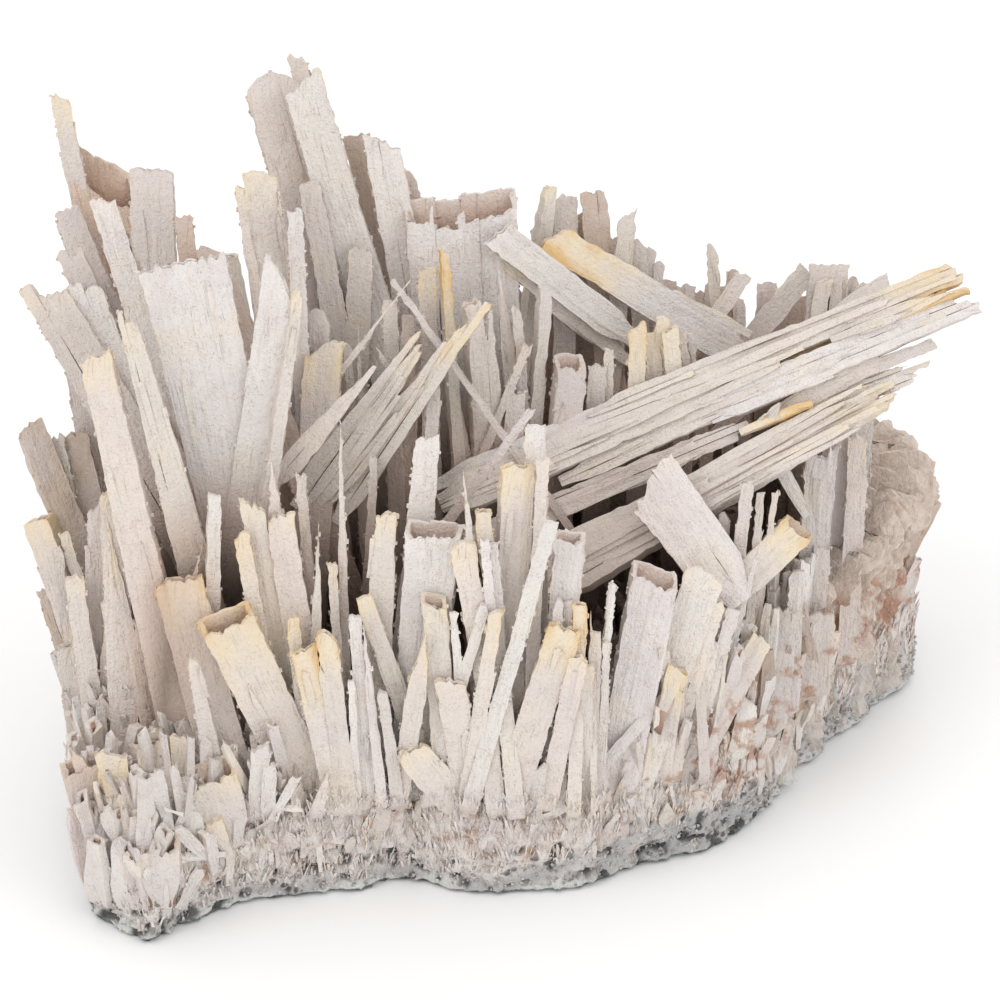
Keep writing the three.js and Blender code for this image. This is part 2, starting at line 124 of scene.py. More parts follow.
def addFloor():
    half, level = studio["floorHalf"], studio["floorLevel"]
    corners = [(-half, -half, level), (half, -half, level), (half, half, level), (-half, half, level)]
    mesh = bpy.data.meshes.new("floor")
    mesh.from_pydata(corners, [], [(0, 1, 2, 3)])
    paper, shader = newMaterial("floorPaper")
    shader.inputs["Base Color"].default_value = studio["floorTint"]
    shader.inputs["Roughness"].default_value = studio["floorRoughness"]
    mesh.materials.append(paper)
    floor = linked("floor", mesh)


def addWorld():
    world = bpy.data.worlds.new("studioWorld")
    world.use_nodes = True
    sky = world.node_tree.nodes["Background"]
    sky.inputs["Color"].default_value = (1, 1, 1, 1)
    sky.inputs["Strength"].default_value = studio["worldLight"]
    scene.world = world
    scene.view_settings.view_transform = "Standard"


addCamera()
for lightRow in studio["lights"]:
    addLight(*lightRow)
addWorld()
addFloor()
print("stage: camera and light")


# what the node trees are built with: a node, sums, products, ramps, colour mixes and noise
def makers(tree):
    def node(kind, values=None, **settings):
        made = tree.nodes.new(kind)
        for key, value in settings.items():
            setattr(made, key, value)
        for key, value in (values or {}).items():
            if isinstance(value, bpy.types.NodeSocket):
                tree.links.new(value, made.inputs[key])
            else:
                made.inputs[key].default_value = value
        return made

    def mathNode(kind, a, b=0.5):
        return node("ShaderNodeMath", {0: a, 1: b}, operation=kind).outputs[0]

    def product(first, *others):
        for other in others:
            first = mathNode("MULTIPLY", first, other)
        return first

    def ramp(value, low, high, first=0.0, last=1.0, shape="SMOOTHSTEP"):
        keys = {"Value": value, "From Min": low, "From Max": high, "To Min": first, "To Max": last}
        return node("ShaderNodeMapRange", keys, clamp=True, interpolation_type=shape).outputs["Result"]

    def mixColour(share, under, over):
        return node("ShaderNodeMix", {0: share, 6: under, 7: over}, data_type="RGBA").outputs[2]

    def noise(vector, scale, detail=2.0, rough=0.55):
        values = {"Vector": vector, "Scale": scale, "Detail": detail, "Roughness": rough}
        return node("ShaderNodeTexNoise", values).outputs["Fac"]

    return node, mathNode, product, ramp, mixColour, noise


def layered(colour, patterns, finish, ramp, mixColour):
    # lays each colour of the finish over those before it, by a pattern or by a ramp of one
    for pattern, over, limits in finish["layers"]:
        share = patterns[pattern]
        if limits:
            share = ramp(share, *limits)
        colour = mixColour(share, colour, finish[over])
    return colour


def marksOf(node):
    # three measures that each piece carries: stain, or on the matrix painted shade in its hollows; hollow;
    # and painted shade, deep in the crowd, in open seams, at the bottom of open boxes and on the top of the
    # slab
    marks = node("ShaderNodeAttribute", attribute_name="marks").outputs["Color"]
    split = node("ShaderNodeSeparateColor", {"Color": marks})
    return [split.outputs[key] for key in ("Red", "Green", "Blue")]


# quartz: warm white to cream, streaked and finely cracked along each blade, brown and pink in hollows;
# painted shade, rosy then near black, deep in the crowd, in open seams and at the bottom of open boxes
quartzFinish = {
    "lavender": (0.68, 0.615, 0.605, 1),
    "creamColour": (0.80, 0.675, 0.495, 1),
    "stainColour": (0.72, 0.475, 0.205, 1),
    "hollowColour": (0.45, 0.235, 0.135, 1),
    "rosyColour": (0.60, 0.43, 0.335, 1),
    "deepColour": (0.085, 0.052, 0.036, 1),
    "crackColour": (0.40, 0.30, 0.24, 1),
    "speckColour": (0.44, 0.36, 0.315, 1),
    "rustColour": (0.45, 0.27, 0.185, 1),
    # noise: scale, detail and roughness
    "patch": (95.0, 3.0, 0.6),
    "mottle": (330.0, 3.0, 0.65),
    "grain": (1150.0, 2.0, 0.6),
    "sugar": (2900.0, 1.0),
    "rustNoise": (150.0, 2.0),
    "streak": (11, 0.7, 3.0, 0.6),  # drawn out: scale across and along, detail and roughness
    "fineStreak": (34, 1.5, 2.0, 0.5),
    # ramps: from, to and, where they aren't 0 and 1, the value at each
    "cracks": (0.67, 0.78),
    "cracksByPatch": (0.42, 0.64, 0.04, 0.36),
    "specks": (0.56, 0.72),
    "specksByMottle": (0.38, 0.62, 0.20, 0.68),
    "stainByPatch": (0.30, 0.62, 0.45, 1.0),
    "roughness": (0.3, 0.7, 0.54, 0.82),
    "specular": 0.4,
    "reliefDepth": 0.0005,
    "reliefStrength": 0.8,
    "relief": {"streak": 0.8, "grain": 0.9, "sugar": 0.5},
    # rust low on the feet of the blades, where the matrix shows through, in metres
    "rust": (0.55, 0.63),
    "rustByMottle": (0.40, 0.60, 0.05, 0.85),
    "rustBottom": (0.009, 0.013),
    "rustTop": (0.017, 0.024, 1.0, 0.0),
    "rustLeft": (-0.055, -0.035),
    "rustClimb": (0.015, 0.045, 0.0, 0.014),  # it reaches higher to the right
    "rustMore": (0.0, 0.04, 0.0, 0.055),      # and there is more of it
    "layers": [  # pattern, colour over, and a ramp of the pattern: from, to, share at each
        ("patch", "lavender", (0.36, 0.58, 0.42, 0.0)),
        ("patch", "creamColour", (0.52, 0.74, 0.0, 0.26)),
        ("streak", "rosyColour", (0.50, 0.72, 0.0, 0.17)),
        ("mottle", "speckColour", (0.52, 0.70, 0.0, 0.16)),
        ("speck", "speckColour", None),
        ("stain", "creamColour", (0.02, 0.45, 0.0, 0.85)),
        ("stain", "stainColour", (0.36, 0.9, 0.0, 0.9)),
        ("hollow", "rosyColour", (0.0, 0.5, 0.0, 0.75)),
        ("hollow", "hollowColour", (0.35, 1.0, 0.0, 0.9)),
        ("crack", "crackColour", None),
        ("rust", "rustColour", None),
        # painted shade: rosy, then near black, deep in the crowd, in open seams and at the bottom of open
        # boxes
        ("deep", "rosyColour", (0.0, 0.4, 0.0, 0.52)),
        ("deep", "deepColour", (0.2, 1.0, 0.0, 0.93)),
    ],
}


def quartzMaterial():
    finish = quartzFinish
    material, shader = newMaterial("sugaryQuartz")
    tree = material.node_tree
    node, mathNode, product, ramp, mixColour, noise = makers(tree)
    tone = node("ShaderNodeAttribute", attribute_name="tone").outputs["Color"]
    stain, hollow, deep = marksOf(node)
    uv = node("ShaderNodeUVMap", uv_map="grain").outputs["UV"]
    place3d = node("ShaderNodeTexCoord").outputs["Object"]

    def drawnOut(across, along, detail, rough):
        # a pattern in the blade's own map, drawn out along the blade
        space = node("ShaderNodeMapping", {"Vector": uv, "Scale": (across, along, 1)}).outputs["Vector"]
        values = {"Vector": space, "Scale": 1.0, "Detail": detail, "Roughness": rough}
        return node("ShaderNodeTexNoise", values, noise_dimensions="2D").outputs["Fac"]

    streak = drawnOut(*finish["streak"])
    fineStreak = drawnOut(*finish["fineStreak"])
    patch = noise(place3d, *finish["patch"])
    mottle = noise(place3d, *finish["mottle"])
    grain = noise(place3d, *finish["grain"])
    sugar = noise(place3d, *finish["sugar"])

    def ramped(value, name):
        return ramp(value, *finish[name])

    crack = product(ramped(fineStreak, "cracks"), ramped(patch, "cracksByPatch"))
    axes = node("ShaderNodeSeparateXYZ", {"Vector": place3d}).outputs
    rust = mathNode("ADD", noise(place3d, *finish["rustNoise"]), ramped(axes["X"], "rustMore"))
    lifted = mathNode("SUBTRACT", axes["Z"], ramped(axes["X"], "rustClimb"))
    zone = product(ramped(axes["Z"], "rustBottom"), ramped(lifted, "rustTop"), ramped(axes["X"], "rustLeft"))
    zone = product(zone, ramped(mottle, "rustByMottle"))
    patterns = {
        "patch": patch,
        "streak": streak,
        "mottle": mottle,
        "speck": product(ramped(sugar, "specks"), ramped(mottle, "specksByMottle")),
        "stain": product(stain, ramped(patch, "stainByPatch")),
        "hollow": hollow,
        "crack": crack,
        "rust": product(ramped(rust, "rust"), zone),
        "deep": deep,
    }
    colour = layered(tone, patterns, finish, ramp, mixColour)
    tree.links.new(colour, shader.inputs["Base Color"])
    tree.links.new(ramped(grain, "roughness"), shader.inputs["Roughness"])
    shader.inputs["Specular IOR Level"].default_value = finish["specular"]

    share = finish["relief"]
    relief = mathNode("SUBTRACT", product(streak, share["streak"]), crack)
    relief = mathNode("ADD", relief, product(grain, share["grain"]))
    relief = mathNode("ADD", relief, product(sugar, share["sugar"]))
    keys = {"Strength": finish["reliefStrength"], "Distance": finish["reliefDepth"], "Height": relief}
    tree.links.new(node("ShaderNodeBump", keys).outputs["Normal"], shader.inputs["Normal"])
    return material


quartz = quartzMaterial()
print("stage: quartz")


# shared make-up of one blade, in millimetres
bladeMake = {
    "lathWidth": 6.5,        # a broad blade is built of parallel laths about this wide
    "columnStep": 0.85,      # spacing of the mesh across a lath
    "ringStep": 1.7,         # spacing of the mesh along the blade
    "tipStep": 0.95,         # and near the end, where the edges are jagged
    "tipZone": 8.0,
    "sideStep": 1.6,         # spacing of the mesh across the thickness
    "seamWidth": 0.3,
    "seamDepth": 0.55,       # depth of a seam between two laths, where it is open
    "seamShare": -0.25,      # how much of a seam is open; below none, it opens in places only
    # painted shade in open seams and at the bottom of open boxes
    "seamDark": 0.75,
    "lathStep": 0.07,        # how far a lath stands proud, as a share of the thickness
    "ridge": 0.14,           # height of the fine lengthwise ridges
    "swell": 0.08,
    "shortest": 3.2,         # most that a lath stops short of the end
    "splitBelow": 9.0,       # blades narrower than this may lose an outer lath
    "deepestSplit": 11.0,
    "hump": 0.38,            # how steeply a broken end falls away from its peak
    "jag": 0.7,
    "edgeTeeth": 0.17,
    "nicks": 0.8,            # how far a nick bites into an edge
    "sway": 0.1,             # how far a blade wanders from straight
    "pointFrom": 0.72,       # share of the length from which a pointed blade draws in
    "footTaper": 9.0,        # the foot runs out over this length
    "thinTip": 0.42,         # share of the thickness worn off a closed end
    "thinReach": 5.0,
    "wall": 0.95,
    "hollowDepth": 13.0,
    "dimple": (0.6, 1.8),    # depth of the hollow in a thick broken end
    "dimpledFrom": (3.6, 2.9),  # width and thickness past which a broken end has one
    "footLevel": 10.0,
    "longestFoot": 90.0,
    "steepEnough": 0.55,     # flatter blades are not carried down to the matrix
    "tucked": True,          # feet are drawn in under the edge of the matrix
    "grainSize": 10.0,       # millimetres to one unit of the grain map
    "sideShade": (0.91, 0.87, 0.84),  # the narrow sides are a little darker and rosier
    "footShade": 0.94,
    "edgeStain": 0.2,
    "stainGain": 1.25,
    "creamStain": 0.45,      # least stain of a cream blade
    "leastStain": 0.16,
    "restingShade": 0.3,     # share of the shade of the crowd that falls on a blade lying over it
}
# over how many millimetres each unevenness of a blade runs; across and along where there are two
bladeWaves = {
    "sway": 17.0, "lean": 21.0, "seam": 9.0, "end": 1.1, "edge": 5.3, "tooth": 1.1, "nick": 1.9,
    "side": 1.2, "ridge": (0.8, 19.0), "swell": (2.7, 6.0), "paleEdge": 6.0,
}
raggedEnds = {"s": 1.0, "o": 0.45, "p": 0.7, "r": 0.25}  # how uneven each kind of end is
plainBlade = {
    "stain": 0.0, "slant": 0.0, "roll": 0.0, "frontDrop": 0.0, "rests": False, "loose": False, "shade": 1.0,
}
rowKeys = ("tipWidth", "footWidth", "thickness", "stain", "slant", "roll", "frontDrop")

# base colours by letter: w white, c cream, g grey, b brown-pink, e earthy beige, m rosy white, p pink
bladeTones = {
    "w": (0.78, 0.735, 0.70),
    "c": (0.755, 0.69, 0.625),
    "g": (0.68, 0.62, 0.575),
    "b": (0.59, 0.475, 0.40),
    "e": (0.61, 0.485, 0.385),
    "m": (0.73, 0.675, 0.64),
    "p": (0.72, 0.56, 0.47),
}

# outline of the foot of the matrix, and how the feet of the blades are drawn in under its surface
footOutline = [
    (-69, -59), (-64.5, -54), (-60, -51), (-56, -47.5), (-49, -43.5), (-42, -43), (-37, -41.5),
    (-28, -41), (-24, -37.5), (-19, -36), (-14, -38), (-8, -41), (0, -41.5), (8, -40.5), (17, -40),
    (23, -35), (28, -31.5), (33, -29.5), (42, -26.5), (48, -20), (53, -13), (57, -5), (60, 3),
    (64, 6), (68, 15), (73.5, 19.5), (79.5, 30), (85, 34.5), (87.5, 40), (87, 50), (83, 61),
    (72, 68), (50, 72), (22, 73), (-10, 73), (-38, 70), (-59, 61), (-74, 42), (-84, 19), (-87, -2),
    (-85, -22), (-82, -35), (-80, -50), (-74, -55),
]
footTuck = {"seed": 23, "from": 21.0, "slope": 0.30, "least": 1.0, "ragged": 1.5, "fade": 6.0, "step": 1.2}
# painted shade, darker low down and well inside the crowd
crowdShade = {"below": 84.0, "reach": 38.0, "inFrom": 8.0, "inReach": 12.0}  # darker inside the crowd


def waver(x, rng):
    # smooth unevenness along a line, from -1 to 1
    table = rng.random(256) * 2 - 1
    start = np.floor(x).astype(int)
    part = x - start
    part = part * part * (3 - 2 * part)
    return table[start & 255] * (1 - part) + table[(start + 1) & 255] * part


def waver2(x, y, rng):
    # the same over a surface
    table = rng.random((64, 64)) * 2 - 1
    i, j = np.floor(x).astype(int), np.floor(y).astype(int)
    u, v = x - i, y - j
    u, v = u * u * (3 - 2 * u), v * v * (3 - 2 * v)
    low = table[i & 63, j & 63] * (1 - u) + table[(i + 1) & 63, j & 63] * u
    high = table[i & 63, (j + 1) & 63] * (1 - u) + table[(i + 1) & 63, (j + 1) & 63] * u
    return low * (1 - v) + high * v


def softened(line, around):
    return (around[0] + 2 * line + around[1]) / 4


def stationsOf(line):
    # distance along a line at each of its points
    spans = np.linalg.norm(np.diff(line[:, :2], axis=0), axis=1)
    return np.concatenate(([0], np.cumsum(spans)))


def pointAt(line, stations, where):
    return np.stack([np.interp(where, stations, line[:, k]) for k in range(line.shape[1])], -1)


def outwardOf(ahead):
    outward = np.stack([ahead[..., 1], -ahead[..., 0]], -1)
    return outward / np.linalg.norm(outward, axis=-1, keepdims=True)


def footLine(step):
    # the closed outline at even steps, a little softened, with the way out at each point
    loop = np.array(footOutline + footOutline[:1], float)
    stations = stationsOf(loop)
    count = int(stations[-1] / step)
    where = np.arange(count) * stations[-1] / count
    line = pointAt(loop, stations, where)
    for turn in range(3):
        line = softened(line, (np.roll(line, 1, axis=0), np.roll(line, -1, axis=0)))
    return line, outwardOf(np.roll(line, -1, axis=0) - np.roll(line, 1, axis=0)), where


edgeLine, edgeOutward = footLine(footTuck["step"])[:2]


def outsideBy(points, every=1):
    # how far outside the edge of the matrix each point stands, and which edge sample is nearest
    line, outward = edgeLine[::every], edgeOutward[::every]
    flat = points[:, :2] - (0, setOut["middleBack"])
    nearest = np.argmin(((flat[:, None] - line[None]) ** 2).sum(-1), axis=1)
    return ((flat - line[nearest]) * outward[nearest]).sum(-1), nearest


def tuckIn(points):
    # the lower a point lies, the further inside the edge of the matrix it has to be
    low = points[:, 2] < footTuck["from"]
    if not low.any():
        return points
    some = points[low]
    outside, nearest = outsideBy(some)
    under = footTuck["from"] - some[:, 2]
    rng = np.random.default_rng(footTuck["seed"])
    ragged = footTuck["ragged"] * waver2(some[:, 0] / 1.2 + 90, some[:, 2] / 1.7 + 90, rng)
    excess = np.maximum(outside + footTuck["least"] + under * footTuck["slope"] + ragged, 0)
    some[:, :2] -= edgeOutward[nearest] * (excess * np.clip(under / footTuck["fade"], 0, 1))[:, None]
    points = points.copy()
    points[low] = some
    return points


def crowdDepth(points):
    # painted shade: darker towards the ground, well inside the edge
    lowDown = np.clip((crowdShade["below"] - points[:, 2]) / crowdShade["reach"], 0, 1)
    inside = np.clip((-outsideBy(points, 6)[0] - crowdShade["inFrom"]) / crowdShade["inReach"], 0, 1)
    return inside * lowDown


def addPiece(name, mesh):
    piece = linked(name, mesh)
    print("stage:", name, len(mesh.polygons), "faces")
    return piece


class Sheaf:
    # gathers many closed blades into one mesh

    def __init__(self):
        self.points, self.faces, self.uvs, self.tones, self.marks = [], [], [], [], []
        self.count = 0

    def add(self, points, faces, uvs, tones, marks):
        self.points.append(points)
        self.faces.append(faces + self.count)
        self.uvs.append(uvs)
        self.tones.append(tones)
        self.marks.append(marks)
        self.count += len(points)

    def build(self, name, material):
        # a triangle is a quad whose last two corners are the same
        points = np.concatenate(self.points) * mm
        faces = np.concatenate(self.faces)
        mesh = bpy.data.meshes.new(name)
        mesh.vertices.add(len(points))
        mesh.vertices.foreach_set("co", points.astype(np.float32).ravel())
        triangle = faces[:, 2] == faces[:, 3]
        sizes = np.where(triangle, 3, 4)
        starts = np.concatenate(([0], np.cumsum(sizes)[:-1]))
        keep = np.ones(faces.shape, bool)
        keep[triangle, 3] = False
        corners = faces[keep]
        mesh.loops.add(len(corners))
        mesh.loops.foreach_set("vertex_index", corners.astype(np.int32))
        mesh.polygons.add(len(faces))
        mesh.polygons.foreach_set("loop_start", starts.astype(np.int32))
        mesh.polygons.foreach_set("loop_total", sizes.astype(np.int32))
        mesh.update(calc_edges=True)
        layer = mesh.uv_layers.new(name="grain")
        layer.data.foreach_set("uv", np.concatenate(self.uvs)[corners].astype(np.float32).ravel())
        for label, values in (("tone", self.tones), ("marks", self.marks)):
            full = np.ones((len(points), 4), np.float32)
            full[:, :3] = np.concatenate(values)
            mesh.attributes.new(label, "FLOAT_COLOR", "POINT").data.foreach_set("color", full.ravel())
        mesh.polygons.foreach_set("use_smooth", np.ones(len(faces), bool))
        mesh.set_sharp_from_angle(angle=math.radians(38))
        mesh.materials.append(material)
        return addPiece(name, mesh)


def ringFaces(ids):
    # quads between rings of points, each ring closed on itself
    after = np.roll(ids, -1, axis=1)
    return np.stack([ids[:-1], after[:-1], after[1:], ids[1:]], -1).reshape(-1, 4)


def bladeColumns(width, rng, make):
    # positions across the face from -1 to 1; a seam column stands between two flat ones close by
    count = max(1, int(round(width / make["lathWidth"] + rng.uniform(-0.4, 0.4))))
    cuts = np.linspace(-1, 1, count + 1)
    cuts[1:-1] += rng.uniform(-0.8, 0.8, count - 1) / count
    flank = min(make["seamWidth"] / width, 0.25 / count)
    columns = []
    for index in range(count):
        low = cuts[index] + (flank if index > 0 else 0)
        high = cuts[index + 1] - (flank if index < count - 1 else 0)
        steps = max(1, int(round((high - low) * width / 2 / make["columnStep"])))
        columns += [(low + (high - low) * share, index, False) for share in np.linspace(0, 1, steps + 1)]
        if index < count - 1:
            columns.append((cuts[index + 1], index, True))
    across, lath, seam = (np.array(values) for values in zip(*columns))
    return across, lath, seam, count


def bladeEnd(blade, across, lath, seam, count, length, rng, make):
    # how far each column stops short of the blade's full length
    width, end = blade["tipWidth"], blade["end"]
    ragged = raggedEnds[end]
    drop = make["shortest"] * ragged * rng.random(count) ** 1.5
    drop[rng.integers(count)] = 0
    if count > 1 and width < make["splitBelow"] and end == "s" and rng.random() < 0.5:
        edge = 0 if rng.random() < 0.5 else count - 1
        drop[edge] += rng.uniform(1.0, max(1.2, min(make["deepestSplit"], length * 0.2)))
    peak = rng.uniform(-0.9, 0.9)
    hump = make["hump"] * rng.random() * ragged * min(width, 5) * np.abs(across - peak)
    teeth = np.abs(waver(across * width / 2 / bladeWaves["end"] + 40, rng)) * 1.6
    teeth += 0.45 * np.abs(rng.normal(size=len(across)))
    short = drop[lath] + hump + make["jag"] * ragged * teeth
    short -= short.min()
    if end == "r":
        short += 0.42 * width * (1 - np.sqrt(1 - 0.97 * across ** 2))
    if end == "p":
        short += 0.9 * width * np.abs(across) ** 1.5
    beside = np.maximum(np.roll(short, 1), np.roll(short, -1))
    short[seam] = beside[seam] + 0.3
    return short


def bladeAxes(blade):
    # along the blade, across it, and out of its face
    axis = blade["tip"] - blade["foot"]
    axis = axis / np.linalg.norm(axis)
    normal = blade["facing"] - axis * blade["facing"].dot(axis)
    normal = normal / np.linalg.norm(normal)
    turn = math.radians(blade["roll"])
    normal = normal * math.cos(turn) + np.cross(axis, normal) * math.sin(turn)
    return axis, np.cross(axis, normal), normal


def bladeRoot(blade, axis, make):
    # a steep blade is carried on down into the matrix
    carryOn = 0.0
    if not blade["rests"] and axis[2] > make["steepEnough"]:
        carryOn = min(max((blade["foot"][2] - make["footLevel"]) / axis[2], 0), make["longestFoot"])
    return blade["foot"] - axis * carryOn


def bladeRings(length, make):
    # rings wide apart along the body, close together near the end
    zone = min(make["tipZone"], length * 0.4)
    body = np.linspace(0, length - zone, max(4, int((length - zone) / make["ringStep"])))
    ending = np.linspace(length - zone, length - 0.9, max(2, int(zone / make["tipStep"])))[1:]
    return np.concatenate((body, ending, [length - 0.35, length]))


def halfWidths(blade, shares, runOut, make):
    tipWidth, footWidth, pointed = blade["tipWidth"], blade["footWidth"], blade["end"] == "p"
    taper = footWidth + (tipWidth - footWidth) * (shares ** 1.7 if pointed else shares)
    if pointed:
        drawnIn = np.clip((shares - make["pointFrom"]) / (1 - make["pointFrom"]), 0, 1)
        taper = taper * (1 - 0.9 * drawnIn ** 1.7)
    return taper * runOut / 2


def bladeSkin(blade, length, rng, make):
    # the outside of one blade as rings of points: across, deep and high, with its open seams
    end, thick = blade["end"], blade["thickness"]
    width = max(blade["tipWidth"], blade["footWidth"])
    across, lath, seam, count = bladeColumns(width, rng, make)
    n = len(across)
    short = bladeEnd(blade, across, lath, seam, count, length, rng, make)
    reach = length - blade["slant"] * across / 2 - short
    sunkFront = blade["frontDrop"] * (1 - 0.35 * across ** 2)
    if sunkFront.any():
        sunkFront = sunkFront + 0.6 * np.abs(rng.normal(size=n))

    along = bladeRings(length, make)
    shares = along / length
    runOut = np.clip(along / make["footTaper"], 0, 1)
    runOut = 0.5 + 0.5 * runOut * runOut * (3 - 2 * runOut)
    half = halfWidths(blade, shares, runOut, make)[:, None] * np.ones(n)
    rough = make["edgeTeeth"] * (0.6 + 0.9 * shares ** 3)
    waves = bladeWaves
    sides = across[None, :] * half + make["sway"] * waver(along / waves["sway"], rng)[:, None]
    for column, way in ((0, -1), (n - 1, 1)):
        tooth = 0.3 * waver(along / waves["edge"] + 9 * way, rng)
        tooth += waver(along / waves["tooth"] + 5 * way, rng)
        nick = np.clip(waver(along / waves["nick"] + 3 * way, rng) - 0.55, 0, 1)
        sides[:, column] += way * (tooth * rough - nick * make["nicks"] * min(width / 6, 1))

    worn = np.ones(len(along))
    if end != "o":
        worn -= make["thinTip"] * np.clip((along - length) / make["thinReach"] + 1, 0, 1) ** 1.5
    deepThick = (thick * (1 - 0.1 * shares) * worn * runOut)[:, None]
    opening = waver2(across[None, :] * 2 + 20, along[:, None] / waves["seam"], rng)
    opening = make["seamShare"] + 1.7 * opening
    seamOpen = seam * np.clip(opening, 0, 1)
    seamCut = min(make["seamDepth"], thick * 0.3) * seamOpen
    lean = make["sway"] * waver(along / waves["lean"], rng)[:, None]
    span = across[None, :] * width / 2

    def unevenFace(name, offset):
        stepAcross, stepAlong = waves[name]
        return make[name] * waver2(span / stepAcross + offset, along[:, None] / stepAlong, rng)

    def face(sign):
        proud = rng.uniform(-1, 1, count) * make["lathStep"] * thick
        outBy = deepThick / 2 + proud[lath][None, :] * worn[:, None]
        outBy = outBy + unevenFace("ridge", 9) + unevenFace("swell", 30) - seamCut
        return sign * outBy + lean

    front, back = face(1), face(-1)
    high = shares[:, None] * reach[None, :]
    highFront = shares[:, None] * (reach - sunkFront)[None, :]
    sideSteps = max(0, int(round(thick / make["sideStep"])) - 1)

    def narrowSide(index, first, second, firstHigh, secondHigh, way):
        columns = []
        for step in range(sideSteps):
            share = (step + 1) / (sideSteps + 1)
            bulge = 0.11 * waver(along / waves["side"] + 7 * step, rng)
            depth = first[:, index] * (1 - share) + second[:, index] * share
            rise = firstHigh[:, index] * (1 - share) + secondHigh[:, index] * share
            columns.append((sides[:, index] + way * (0.05 + bulge), depth, rise))
        return columns

    # columns in order round the blade: front, right side, back, left side
    order = [(sides[:, i], front[:, i], highFront[:, i]) for i in range(n)]
    order += narrowSide(n - 1, front, back, highFront, high, 1)
    order += [(sides[:, i], back[:, i], high[:, i]) for i in range(n - 1, -1, -1)]
    order += narrowSide(0, back, front, high, highFront, -1)
    skin = np.stack([np.stack([column[k] for column in order], 1) for k in range(3)], -1)
    # painted shade in the open seams between laths, front and back
    crack = np.zeros(skin.shape[:2])
    crack[:, :n] = make["seamDark"] * seamOpen
    crack[:, n + sideSteps:2 * n + sideSteps] = crack[:, :n][:, ::-1]
    return {
        "rings": skin, "crack": crack, "lean": lean, "n": n, "sideSteps": sideSteps,
        "width": width, "halfTip": half[-1].max(),
    }


def acrossEnd(ring, skin):
    # closes a ring across the thickness, front column to back column
    n, sideSteps = skin["n"], skin["sideSteps"]
    front = ring[:n]
    back = ring[n + sideSteps:2 * n + sideSteps][::-1]
    made = [(front[i], front[i + 1], back[i + 1], back[i]) for i in range(n - 1)]
    right = [front[n - 1], *ring[n:n + sideSteps], back[n - 1]]
    left = [back[0], *ring[2 * n + sideSteps:], front[0]]
    for line in (right, left):
        made += [(line[0], line[k], line[k + 1], line[k + 1]) for k in range(1, len(line) - 1)]
    return np.array(made)


def flipped(made):
    out = made[:, ::-1].copy()
    same = made[:, 2] == made[:, 3]
    out[same] = made[same][:, [2, 1, 0, 0]]
    return out


def hollowRings(blade, skin, rng, make):
    # rings that go down inside an open box, or a little way into a thick broken end
    isOpen, thick = blade["end"] == "o", blade["thickness"]
    leastWidth, leastThick = make["dimpledFrom"]
    if not isOpen and not (blade["end"] == "s" and thick > leastThick and blade["tipWidth"] > leastWidth):
        return []
    top, lean = skin["rings"][-1], skin["lean"][-1]
    wall = min(make["wall"], thick * 0.3)
    depth = make["hollowDepth"] if isOpen else rng.uniform(*make["dimple"])
    shrinkSide = np.clip(1 - wall / np.maximum(skin["halfTip"], 0.4), 0.1, 1)
    shrinkDeep = np.clip(1 - wall / (thick / 2), 0.1, 1)
    rings = []
    for share in np.linspace(0, 1, 8 if isOpen else 2):
        uneven = 0.14 * rng.normal(0, 1, len(top))
        sideways = top[:, 0] * shrinkSide * (1 - 0.10 * share) + uneven
        deep = (top[:, 1] - lean) * shrinkDeep * (1 - 0.12 * share) + lean + 0.5 * uneven
        high = top[:, 2] - 0.15 - depth * share + 0.3 * uneven
        dark = 0.26 + 0.72 * share if isOpen else 0.1 + 0.3 * share
        # painted shade, darkening towards the bottom of an open box
        crack = make["seamDark"] * share ** 2 if isOpen else 0.0
        rings.append((np.stack([sideways, deep, high], -1), dark, crack))
    return rings


